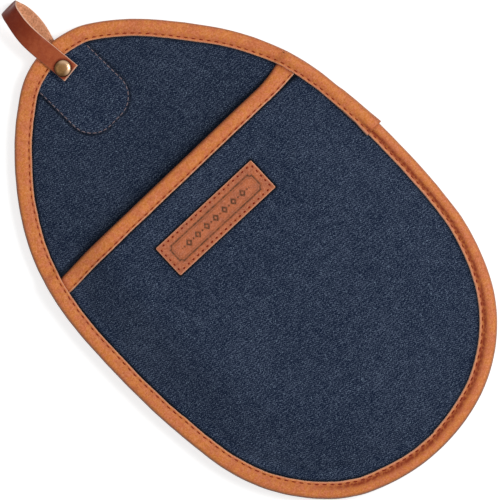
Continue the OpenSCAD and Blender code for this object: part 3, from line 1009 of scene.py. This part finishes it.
def rim_shift(run, turn):
    """How far out from the outline's arcs it lies."""
    return stray(turn) + 0.08 * wavy(run, 21, 30) + 0.06 * wavy(run, 23, 7)


def low_turn_of(turn):
    """Direction from -180 to 180 degrees, so that the base is in its middle."""
    return np.where(wrapped(turn) > 180, wrapped(turn) - 360, wrapped(turn))


def rim_groove(turn):
    """How deep the seam's groove is, with its burnish and painted shade, most along the base and the right
    side.
    """
    low_turn = low_turn_of(turn)
    grooved = smooth((low_turn + 150) / 30) * (1 - 0.85 * smooth((low_turn - LAP_TURN) / 2))
    grooved *= 1 - smooth((low_turn - 60) / 20)
    return np.maximum(grooved, 0.2 * hill(wrapped(turn) - 217, 25))


def rim_binding():
    run = np.linspace(0, BAND_LENGTH, int(BAND_LENGTH / BAND_STEP) + 1)
    turn = turn_at(RUN_START - run, BAND_IN)
    width = rim_width(run, turn) + 0.8 * smooth((run - BAND_LENGTH + 11) / 11)
    shift = rim_shift(run, turn)
    out, thick = lap_out(run), band_t(run)
    pull = stitch_pull(run, STITCH_PITCH)
    # flatter where the strap passes over it, at rest and swivelled
    near_strap = 1 - smooth((np.abs(rim(turn, 0)[:, 0]) - 24) / 12)
    near_strap = np.where(np.sin(np.radians(turn)) > 0.3, near_strap, 0)
    crown = (0.34 + 0.13 * wavy(run, 7, 13) + 0.06 * wavy(run, 9, 5)) * (1 - 0.8 * near_strap)
    crown *= smooth((run - LAP_L + 4) / 6)
    # the seam's groove, deep along the base and the right side, is darkened with burnish and painted shade
    grooved = rim_groove(turn)
    groove_shade_width = 1.35 + 0.6 * (1 - smooth((low_turn_of(turn) + 60) / 40))
    pale = 0.5 + 0.15 * grooved
    # painted shade on the rolled fold: least on the right side, deepest on the far side
    shaded = 0.4 + 0.6 * smooth((np.abs((wrapped(turn) - 30 + 180) % 360 - 180) - 60) / 60)
    # red marks: the pale cut edge on the first two rows, and a painted highlight on the ridge next to it
    cuts = [pale, 0.35 * pale, 0.15 * grooved, 0.12 * grooved] + [0.0] * (len(RIM_FACE) - 4)

    def place(inset, side, off, fold):
        xy = rim(turn, inset - shift)
        half = (PALM_Z + rise(xy) - BACK_Z) / 2
        reach = (half + off) * (side if fold is None else math.sin(fold))
        return xy, BACK_Z + half + reach, 0

    strip = Strip(place, width, out)

    def on_face(side, e, share, on_crown, cut):
        lift = 1.0 if side > 0 else 0.45
        off = out + thick * share + crown * on_crown * lift
        off = off - 0.5 * grooved * lift * hill(e - GROOVE_IN, 1.1)
        # burnish and painted shade in the groove, spreading wider towards the fold
        burnish_and_shade = 0.94 * grooved * hill(e - GROOVE_IN - 0.05, groove_shade_width if e > GROOVE_IN + 0.05 else 1.1)
        # painted shade at each stitch, where the thread pulls the leather down, and a little along the
        # stitch line
        if e == STITCH_IN:
            off = off - 0.16 * pull * lift
            burnish_and_shade = np.maximum(burnish_and_shade, 0.6 * (0.3 + 0.7 * pull) * (1 - 0.7 * grooved))
        elif 1.1 < e < 2.1:
            burnish_and_shade = np.maximum(burnish_and_shade, 0.2)
        strip.add(width - e - out * 0.2 * (e < 3), side, off, cut, burnish_and_shade)

    def in_fold(q):
        off = out + thick + crown * np.clip(math.sin(q), 0, 1) ** 0.6
        inset = FOLD_D - (FOLD_D - LEATHER_T + out + thick) * math.cos(q)
        # painted shade where the fold rolls over
        roll = shaded * np.clip(1.5 - abs(math.degrees(q)) / 42, 0, 1)
        strip.add(inset, 0, off, roll=roll, fold=q)

    def inner_fold(q):
        return FOLD_D - (FOLD_D - LEATHER_T + out) * math.cos(q)

    face = [(*row, cut) for row, cut in zip(RIM_FACE, cuts)]
    folds = np.radians(np.linspace(90, -90, 15))
    outer = strip.wrap(face, folds, on_face, in_fold, inner_fold, (pale, pale))
    # burnish and painted shade along the end that laps over the start
    obj = strip.finish("rim_binding_leather", outer, end_burnish_and_shade=0.45)
    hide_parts("rim_binding")


def rim_stitches(name, side):
    """Stitches on the front, where side is 1, or on the back, where it is -1."""
    run = np.arange(STITCH_PITCH / 2, BAND_LENGTH - 1.5, STITCH_PITCH)
    run = run[(run > LAP_L + 3) | (run > BAND_LENGTH - LAP_L)]
    turn = turn_at(RUN_START - run, BAND_IN)
    inset = rim_width(run, turn) - STITCH_IN - rim_shift(run, turn)
    xy = rim(turn, inset)
    # sunk in the groove along the right side below the lap
    sunk = 0.22 * smooth((wrapped(turn) + 60) / 20) * (1 - smooth((wrapped(turn) - LAP_TURN) / 2))
    off = lap_out(run) + LEATHER_T * 0.74 - 0.1 - sunk
    z = PALM_Z + rise(xy) + off if side > 0 else BACK_Z - off
    ahead = rim(turn - 0.3, inset)
    slope = (rise(ahead) - rise(xy)) / np.linalg.norm(ahead - xy, axis=1) * (side > 0)
    a = np.radians(turn)
    tangent = unit_rows(np.column_stack([np.sin(a), -np.cos(a), slope]))
    up = np.tile([0, 0, float(side)], (len(a), 1))
    up = unit_rows(up - tangent * (up * tangent).sum(1)[:, None])
    # each stitch slants a little across the seam
    tangent[:, :2] -= side * 0.06 * np.column_stack([np.cos(a), np.sin(a)])
    length = 2.5 + 0.25 * wavy(run, 31, 3)
    threads(name, xy, z, tangent, length, 0.37, THREAD, up)


rim_binding()
rim_stitches("rim_stitches_front", 1)
rim_stitches("rim_stitches_back", -1)

# --- Binding along the mouth ---

MOUTH_SEAM_IN, MOUTH_PITCH = 1.3, 4.4
MOUTH_EDGE = BAND_LOW - 0.3
MOUTH_FOLD_D = 1.9
# as RIM_FACE
MOUTH_FACE = [(0.34, 0.80, 0), (0.6, 0.99, 0), (0.9, 0.97, 0.05), (MOUTH_SEAM_IN, 0.76, 0.1),
              (1.7, 0.97, 0.3), (2.2, 1.06, 0.55), (2.8, 1.1, 0.8), (3.6, 1.1, 0.95), (4.6, 1.1, 1),
              (5.4, 1.1, 0.9)]


def bend(across, down):
    """How far down the band strays from its straight line: its left end sags, and its right end
    is drawn up, most at the fold."""
    at_fold = 1 - smooth((down + 1) / (MOUTH_BAND - 1))
    sag = 0.85 * smooth((-across - 56) / 26)
    drawn = 0.008 * np.clip(across - 63, 0, None) ** 2
    return sag - drawn * (0.25 + 0.75 * at_fold) - 0.3 * at_fold


def mouth_binding():
    # its ends run under the rim's binding
    across = np.linspace(-93.5, 93.5, 179)
    across = across[inside_rim(from_mouth(across, 4), LAYER_IN + 0.6)]
    edge = MOUTH_EDGE + 0.12 * wavy(across, 40, 15)
    pull = stitch_pull(across, MOUTH_PITCH)
    crown = 0.42 + 0.12 * wavy(across, 47, 14)
    cuts = [share * (1.25 - 0.7 * pull) for share in (0.55, 0.35)] + [0.0] * (len(MOUTH_FACE) - 2)

    def place(down, side, off, fold):
        xy = from_mouth(across, down + bend(across, down))
        inset, turn = place_of(xy)
        top, low = pocket_top(xy, inset), pocket_bottom(xy, inset)
        if side > 0:
            z = top + off
        elif side < 0:
            z = low - off * np.clip((low - PALM_Z) / 1.3, 0.02, 1)
        else:
            z = (top + low) / 2 + ((top - low) / 2 + off) * math.sin(fold)
            z = np.maximum(z, PALM_Z + 0.05 - 0.03 * np.minimum(off / LEATHER_T, 1))
        # painted shade where the band runs under the rim's binding
        return xy, z, 0.8 * hill(np.clip(past_band(inset, turn), 0, None), 1.3)

    strip = Strip(place, edge)

    def on_face(side, e, share, on_crown, cut):
        off = LEATHER_T * share + crown * on_crown * (1 if side > 0 else 0.2)
        # painted shade along the seam, deepest where each stitch pulls the leather down
        burnish_and_shade = 0.3 if e in (0.9, 1.7) else 0.0
        if e == MOUTH_SEAM_IN:
            off = off - 0.15 * pull
            burnish_and_shade = 0.3 + 0.5 * pull
        strip.add(edge - e, side, off, cut, burnish_and_shade)

    def in_fold(q):
        down = MOUTH_FOLD_D - (MOUTH_FOLD_D + LEATHER_T - 0.05) * math.cos(q)
        # painted shade where the fold rolls over
        roll = float(np.clip(1.1 - abs(math.degrees(q)) / 60, 0, 1))
        strip.add(down, 0, LEATHER_T + crown * 0.7 * max(math.sin(q), 0), roll=roll, fold=q)

    def inner_fold(q):
        return MOUTH_FOLD_D - (MOUTH_FOLD_D - 0.05) * math.cos(q)

    face = [(*row, cut) for row, cut in zip(MOUTH_FACE, cuts)]
    folds = np.radians(np.linspace(90, -90, 13))
    outer = strip.wrap(face, folds, on_face, in_fold, inner_fold, (0.5, 1.0))
    obj = strip.finish("mouth_binding_leather", outer)
    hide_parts("mouth_binding")


def mouth_stitches():
    at = np.arange(-18, 19) * MOUTH_PITCH + MOUTH_PITCH / 2
    seam = MOUTH_EDGE - MOUTH_SEAM_IN
    xy = from_mouth(at, seam + 0.12 * wavy(at, 40, 15) + bend(at, seam))
    top = pocket_top(xy, inset_of(xy))
    ahead = from_mouth(at + 1, seam + bend(at, seam))
    slope = pocket_top(ahead, inset_of(ahead)) - top
    tangent = unit_rows(np.column_stack([np.tile(MOUTH_X, (len(at), 1)), slope]))
    up = np.cross(tangent, [*-MOUTH_DOWN, 0])
    up = up * np.sign(up[:, 2:3])
    z = top + LEATHER_T * 0.76 - 0.08
    length = 2.9 + 0.2 * wavy(at, 3, 3)
    threads("mouth_stitches", xy, z, tangent, length, 0.34, THREAD, up)


mouth_binding()
mouth_stitches()

# --- Patch that the rivet goes through ---

def patch_panel():
    border = dense(patch_line(), 0.9)
    fine = dense(border, 0.3)

    def keep(p):
        side, up = np.abs(p[:, 0]) - PATCH_W / 2, p[:, 1] - PATCH_LOW
        corner = (side > -PATCH_R) & (up < PATCH_R) & (np.hypot(side + PATCH_R, up - PATCH_R) > PATCH_R)
        inside = (side < 0) & (up > 0) & ~corner & inside_rim(p, LAYER_IN + 0.9)
        return inside & (nearest(p, fine)[0] > 0.55)

    xy, tris = fill_in(border, 0.95, keep)
    edge = nearest(xy, fine)[0]
    under = height_on(back, xy, PALM_Z)
    from_seam = edge - PATCH_SEAM_IN + PATCH_TUCK
    plump = 0.12 * hill(edge - 0.7, 0.4) + 0.06 * wavy(xy[:, 0], xy[:, 1], 9)
    top = under + DENIM_T - rounding(edge, 0.55) - 0.22 * hill(from_seam, 0.45) + plump * smooth(edge / 0.6)
    # pressed flat under the strap
    strap = (np.abs(xy[:, 0] - 1) < 8) & (xy[:, 1] > RIVET_Y - 8)
    top = np.where(strap, np.minimum(top, STRAP_Z1 - 0.15), top)
    verts, faces = pad(xy, tris, top, under - 0.1)[:2]
    # painted shade in the seam's groove and along the patch's edge
    dark = np.concatenate([0.45 * hill(from_seam, 0.35) + 0.5 * (edge < 0.3), np.zeros(len(xy))])
    obj = make("rivet_patch_denim", verts, faces, [DENIM], tone=(0, dark, 0))
    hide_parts("rivet_patch")


def patch_stitches():
    """Stitches down both sides of the patch and round its lower end."""
    w, r, low = PATCH_W / 2 - PATCH_SEAM_IN, PATCH_R - PATCH_SEAM_IN, PATCH_LOW + PATCH_SEAM_IN
    top_y = 139.0
    right = patch_corner(w, r, low, 40)
    line = np.concatenate([[[w, top_y]], right, right[::-1] * [-1, 1], [[-w, top_y]]])
    marks = marks_along(line)
    at = np.arange(2, marks[-1], 3.0)
    mid, ahead = points_at(line, marks, at), points_at(line, marks, at + 0.5)
    shown = inset_of(mid) > 10.5
    mid, ahead = mid[shown], ahead[shown]
    z = height_on(back, mid, PALM_Z) + DENIM_T - 0.16
    threads("patch_stitches", mid, z, unit_rows(ahead - mid), 2.4, 0.22, PATCH_THREAD, rise=0.14)


patch_panel()
patch_stitches()

# --- Label ---

LABEL_Z0 = bottom_of("label")
LABEL_T = top_of("label") - LABEL_Z0
LABEL_SEAM_IN = 1.65
LABEL_STEP = 0.34


def tooling(a, b):
    """How deep the label is tooled at each point, from 0 to 1: a frame of two lines, with
    notched corners, round a row of lozenges between dots."""
    frame_a, frame_b = LABEL_L / 2 - 5.2, LABEL_H / 2 - 4.6
    corner = np.hypot(np.abs(a) - frame_a, np.abs(b) - frame_b) - 1.6
    in_frame = np.minimum(np.minimum(frame_a - np.abs(a), frame_b - np.abs(b)), corner)
    lines = hill(in_frame, 0.5) + 0.5 * hill(in_frame - 1.2, 0.22)
    pitch = 6.4
    from_lozenge = np.abs((a + pitch / 2) % pitch - pitch / 2)
    body = 1 - smooth((from_lozenge / 2.05 + np.abs(b) / 2.3 - 0.88) / 0.24)
    core = 1 - smooth((from_lozenge / 0.8 + np.abs(b) / 0.9 - 0.8) / 0.4)
    lozenges = np.clip(body * (np.abs(a) < 24) - core, 0, 1)
    from_dot = np.hypot(a % pitch - pitch / 2, b)
    dots = (1 - smooth((from_dot - 0.42) / 0.25)) * (np.abs(a) < 26)
    return np.clip(lines + lozenges + dots, 0, 1)


def label():
    a, b = (np.linspace(-size / 2, size / 2, int(size / LABEL_STEP) + 1) for size in (LABEL_L, LABEL_H))
    a, b = np.meshgrid(a, b, indexing="ij")
    # the corners are pulled in to their radius
    flat_a, flat_b = LABEL_L / 2 - LABEL_R, LABEL_H / 2 - LABEL_R
    over_a, over_b = np.clip(np.abs(a) - flat_a, 0, None), np.clip(np.abs(b) - flat_b, 0, None)
    pull = np.minimum(1, LABEL_R / np.maximum(np.hypot(over_a, over_b), 1e-6))
    xy = on_label(np.sign(a) * (np.minimum(np.abs(a), flat_a) + over_a * pull),
                  np.sign(b) * (np.minimum(np.abs(b), flat_b) + over_b * pull)).reshape(-1, 2)
    edge = np.minimum(LABEL_L / 2 - np.abs(a), LABEL_H / 2 - np.abs(b))
    seam = hill(edge - LABEL_SEAM_IN, 0.5)
    mark = tooling(a, b)
    height = LABEL_T - 0.8 * rounding(edge, 0.5) - 0.1 * seam - 0.24 * mark
    height += 0.07 * wavy(a, b, 11, 3) * smooth(edge / 2)
    top, bottom = LABEL_Z0 + height.ravel(), np.full(a.size, LABEL_Z0 - 0.05)
    verts, faces = pad(xy, skin_of(*a.shape), top, bottom)[:2]
    cut = [(1 - smooth((edge - 0.25) / 0.35)) * 0.9, np.full(a.shape, 0.9)]
    burnish_and_shade = [np.clip(mark * 0.95 + seam * 0.1, 0, 1), np.zeros(a.shape)]
    obj = make("leather_label", verts, faces, [LABEL_LEATHER], tone=(cut, burnish_and_shade, 0))
    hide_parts("label")


def label_stitches():
    seam_a, seam_b = LABEL_L / 2 - LABEL_SEAM_IN, LABEL_H / 2 - LABEL_SEAM_IN
    places = [(s, side * seam_b, 1, 0) for side in (-1, 1) for s in np.arange(-30.2, 30.3, 3.355)]
    places += [(side * seam_a, s, 0, 1) for side in (-1, 1) for s in np.arange(-6.6, 6.7, 3.3)]
    a, b, way_a, way_b = np.array(places).T
    xy = on_label(a, b)
    along = on_label(a + way_a, b + way_b) - xy
    z = np.full(len(xy), LABEL_Z0 + LABEL_T - 0.2)
    threads("label_stitches", xy, z, along, 1.5, 0.44, LABEL_THREAD, rise=0.12)


label()
label_stitches()

# --- Hanging strap ---

def leg_x(lean, y):
    return STRAP_OFF + (y - RIVET_Y) * math.tan(math.radians(lean))


def past(y):
    """How far y is past the mitt's tip, as a share of the loop's reach."""
    return np.clip((y - TIP_Y) / (FAR_Y - TIP_Y), 0, 1)


def front_x(y):
    return leg_x(FRONT_LEAN, y) + LOOP_SWEEP * past(y) ** 2.5


def back_x(y):
    return (leg_x(BACK_LEAN, y) + BACK_BOW * np.sin(math.pi * past(y))
            + (front_x(FAR_Y) - leg_x(BACK_LEAN, FAR_Y)) * past(y) ** 4)


def strap_line():
    """The strap's centre line from the side: y, z, direction, share passed to the back leg, roll."""
    leg0, leg1 = STRAP_Z0 + STRAP_T / 2, STRAP_Z1 + STRAP_T / 2
    loop_z = (leg0 + leg1) / 2
    loop_r = loop_z - 0.3 - STRAP_T / 2
    loop_y = FAR_Y - STRAP_T / 2 - loop_r
    climb = loop_z + loop_r - leg1
    level = [(y, leg1, 0.0) for y in np.linspace(RIVET_Y - STRAP_TAIL, TIP_Y - 0.8, 24)]
    length = loop_y - TIP_Y
    swell = [(TIP_Y + length * t, leg1 + climb * smooth(t), math.atan2(climb * 6 * t * (1 - t), length))
             for t in np.linspace(0, 1, 30)]
    front = [(*p, 0.0, FRONT_ROLL * float(smooth((p[0] - TIP_Y) / length))) for p in level + swell]
    turn_back = [(loop_y + loop_r * math.sin(q), loop_z + loop_r * math.cos(q), -q,
                  float(smooth(q / math.pi)), FRONT_ROLL * float(smooth(1 - 3 * q / math.pi)))
                 for q in np.linspace(0, math.pi, 34)[1:-1]]
    rear = [(p[0], 2 * loop_z - p[1], -math.pi - p[2], 1.0, 0.0) for p in reversed(front)]
    return np.array(front + turn_back + rear)


def strap_section():
    """The strap's section, from its upper right edge round: across it, and up from its middle."""
    w, t = STRAP_W / 2, STRAP_T / 2
    e, bevel = 0.46, 0.14
    edge = [(w - e, t), (w - bevel, t - 0.16), (w, t - e), (w, 0), (w, -t + e), (w - bevel, -t + 0.16),
            (w - e, -t)]
    spans = np.linspace(w - e, -w + e, 12)[1:-1]
    lower, upper = [(s, -t) for s in spans], [(-s, t) for s in spans]
    return np.array(edge + lower + [(-a, b) for a, b in reversed(edge)] + upper)


def hanging_strap():
    line = strap_line()
    y, z, way, share, roll = line.T[:, :, None]
    mid = front_x(y) * (1 - share) + back_x(y) * share
    across, height = strap_section().T
    w, t = STRAP_W / 2, STRAP_T / 2
    marks = marks_along(line[:, :2])[:, None]
    cupped, loop_shade = smooth((y - 158) / 16), smooth((y - 146) / 26)
    at_edge, grain_side = np.abs(across) > w - 0.2, height > 0
    sx = across * (1 + 0.012 * wavy(marks, 60, 9))
    sy = height - 0.24 * (across / w) ** 2 * cupped + 0.07 * wavy(marks, across + 40, 3.2) * grain_side
    out = (sx + w) * np.sin(roll) + sy * np.cos(roll)
    x = mid + sx * np.cos(roll) - sy * np.sin(roll)
    # the end by the rivet is cut at a slant
    at = y + sx * 0.09 * (1 - share) * (1 - past(y))
    verts = np.stack([x, at - out * np.sin(way), z + out * np.cos(way)], -1)
    # painted shade on the cut edge of the side that curls under, which stays dark there
    curl_shade = (across < 0) * smooth((y - RIVET_Y + STRAP_TAIL) / 2.5) * (1 - share)
    # cut edges are pale, their lower half less so, as burnish and painted shade
    cut = np.where(at_edge, np.where(height > 0.2, 0.9, 0.35), 0.0) * (1 - 0.85 * curl_shade)
    cut[[0, -1]] = 0.95
    # painted shadow in a ring round the rivet's cap
    by_rivet = contact(np.hypot(x, at - RIVET_Y), 4.9, 6.0) * (share == 0)
    # painted shade, deepening towards the loop where the strap turns over
    burnish_and_shade = np.clip(0.04 + 0.86 * loop_shade + 0.8 * by_rivet, 0, 1) * grain_side + 0.7 * curl_shade * at_edge
    stations, around = verts.shape[:2]
    ends = end_caps(around, around // 2, stations)
    faces = [f[::-1] for f in skin_of(stations, around, closed=True).tolist() + ends]
    flesh = (height + np.roll(height, -1)) / 2 <= t - 0.45
    shades = np.concatenate([np.tile(flesh, stations - 1), np.zeros(len(ends))])
    obj = make("hanging_strap_leather", verts.reshape(-1, 3), faces, [BROWN, FLESH],
               body="loop", shades=shades, tone=(cut, burnish_and_shade, 0))
    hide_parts("hanging_strap")


hanging_strap()

# --- Rivet ---

# The side of the cap that gets a painted highlight, towards the key light, as a direction round its axis
HIGHLIGHT_WAY = math.radians(-16)


def turned(name, profile, node, sides=64):
    """A lathe form round the rivet's axis. Each row of profile is radius, height, how dark it is
    (patina, and painted shade at the cap's rim) and how strong its painted highlight is on the lit side,
    which also gives painted shade on the far side."""
    q = np.arange(sides) * 2 * math.pi / sides
    r, z, dark, painted_highlight = (np.array(column)[:, None] for column in zip(*profile))
    verts = np.stack([r * np.cos(q), RIVET_Y + r * np.sin(q), np.broadcast_to(z, (len(r), sides))], -1)
    # painted highlight on the side towards the light, and painted shade on the other side
    lit_side = smooth(0.45 + 0.9 * np.cos(q - HIGHLIGHT_WAY))
    tone = (painted_highlight * lit_side, np.clip(dark + painted_highlight * 0.6 * (1 - lit_side), 0, 1), 0)
    faces = skin_of(len(r), sides, closed=True).tolist()
    faces += [list(range(sides)), list(range(sides * (len(r) - 1), sides * len(r)))[::-1]]
    obj = make(name, verts.reshape(-1, 3), faces, [BRASS], tone=tone)
    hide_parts(node)


def rivet():
    low, top = bottom_of("rivet_cap"), top_of("rivet_cap")
    r = (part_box("rivet_cap")[1].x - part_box("rivet_cap")[0].x) / MM / 2
    # rows: radius, depth below the top, darkness (most at the rim, as painted shade), painted highlight
    dome = [(0.02, 0, 0, 0), (0.7, 0.01, 0, 0), (1.5, 0.05, 0, 0.03), (2.3, 0.13, 0, 0.25),
            (2.8, 0.22, 0, 0.55), (3.2, 0.33, 0, 0.75), (3.6, 0.5, 0.05, 0.8), (3.9, 0.68, 0.15, 0.7),
            (4.2, 0.93, 0.5, 0.3), (r - 0.18, 1.15, 0.75, 0), (r - 0.03, 1.4, 0.95, 0)]
    under = [(r - 0.04, 0.22), (r - 0.2, 0.06), (r - 0.5, 0), (1.7, 0), (1.62, 0.9), (0.02, 0.95)]
    cap = [(x, top - down, dark, painted_highlight) for x, down, dark, painted_highlight in dome]
    cap += [(x, low + up, 1, 0) for x, up in under]
    turned("rivet_cap_brass", cap, "rivet_cap")
    foot, foot_t = bottom_of("rivet_stud"), 1.2
    stem = [(0.02, low + 0.9, 0.5), (1.58, low + 0.88, 0.5), (1.6, low + 0.8, 0.5)]
    base = [(1.6, foot_t, 0.6), (r - 0.5, foot_t, 1), (r - 0.15, foot_t - 0.06, 0.8),
            (r, foot_t - 0.3, 0.5), (r - 0.1, 0.6, 0.3), (r - 0.5, 0.35, 0.1), (3.2, 0.14, 0),
            (1.8, 0.03, 0), (0.9, 0, 0), (0.02, 0, 0)]
    stud = stem + [(x, foot + up, dark) for x, up, dark in base]
    turned("rivet_stud_brass", [(*row, 0) for row in stud], "rivet_stud")


rivet()

# --- Stage and light ---

FLOOR_SIZE, FLOOR_Z = 6.0, -2e-5


def level_seen(nodes, unseen, seen):
    """seen where a ray comes from the camera, a reflection or clear glass, and unseen elsewhere."""
    direct = nodes.node("LightPath", {}, "Is Camera Ray")
    for kind in ("Is Glossy Ray", "Is Transmission Ray"):
        direct = nodes.node("Math", {0: direct, 1: nodes.node("LightPath", {}, kind)}, operation="MAXIMUM")
    return nodes.node("MapRange", {"Value": direct, "To Min": unseen, "To Max": seen})


def floor_material():
    """Pale paper, which glows as white as the backdrop where it is seen and isn't in shadow."""
    paper = bpy.data.materials.new("floor_paper")
    dull = {"Base_Color": (0.6, 0.6, 0.6, 1), "Roughness": 0.9, "Specular_IOR_Level": 0.0}
    nodes = Nodes(paper, "Principled BSDF", **dull)
    glow = nodes.node("Emission", {"Strength": level_seen(nodes, 0.0, 0.62)})
    both = nodes.node("AddShader", {0: nodes.shader.outputs[0], 1: glow})
    nodes.link(both, nodes.tree.nodes["Material Output"].inputs["Surface"])
    return paper


def stage():
    mesh = bpy.data.meshes.new("floor")
    side = FLOOR_SIZE / 2
    corners = [(-side, -side), (side, -side), (side, side), (-side, side)]
    mesh.from_pydata([(x, y, FLOOR_Z) for x, y in corners], [], [(0, 1, 2, 3)])
    mesh.materials.append(floor_material())
    floor = bpy.data.objects.new("floor", mesh)
    scene.collection.objects.link(floor)


def backdrop():
    scene.world = bpy.data.worlds.new("studio")
    nodes = Nodes(scene.world, "Background", Color=(1, 1, 1, 1))
    nodes.link(level_seen(nodes, 0.42, 1.0), nodes.shader.inputs["Strength"])


def lamp(name, place, size, power):
    data = bpy.data.lights.new(name, "AREA")
    data.size = size
    data.energy = power
    obj = bpy.data.objects.new(name, data)
    obj.location = place
    obj.rotation_euler = (Vector(place) - AIM).to_track_quat("Z", "Y").to_euler()
    scene.collection.objects.link(obj)


stage()
backdrop()
lamp("key", (0.98, -0.5, 1.5), 0.8, 21.0)
lamp("fill", (-0.9, 0.7, 1.4), 1.2, 5.0)
scene.view_settings.view_transform = "Standard"
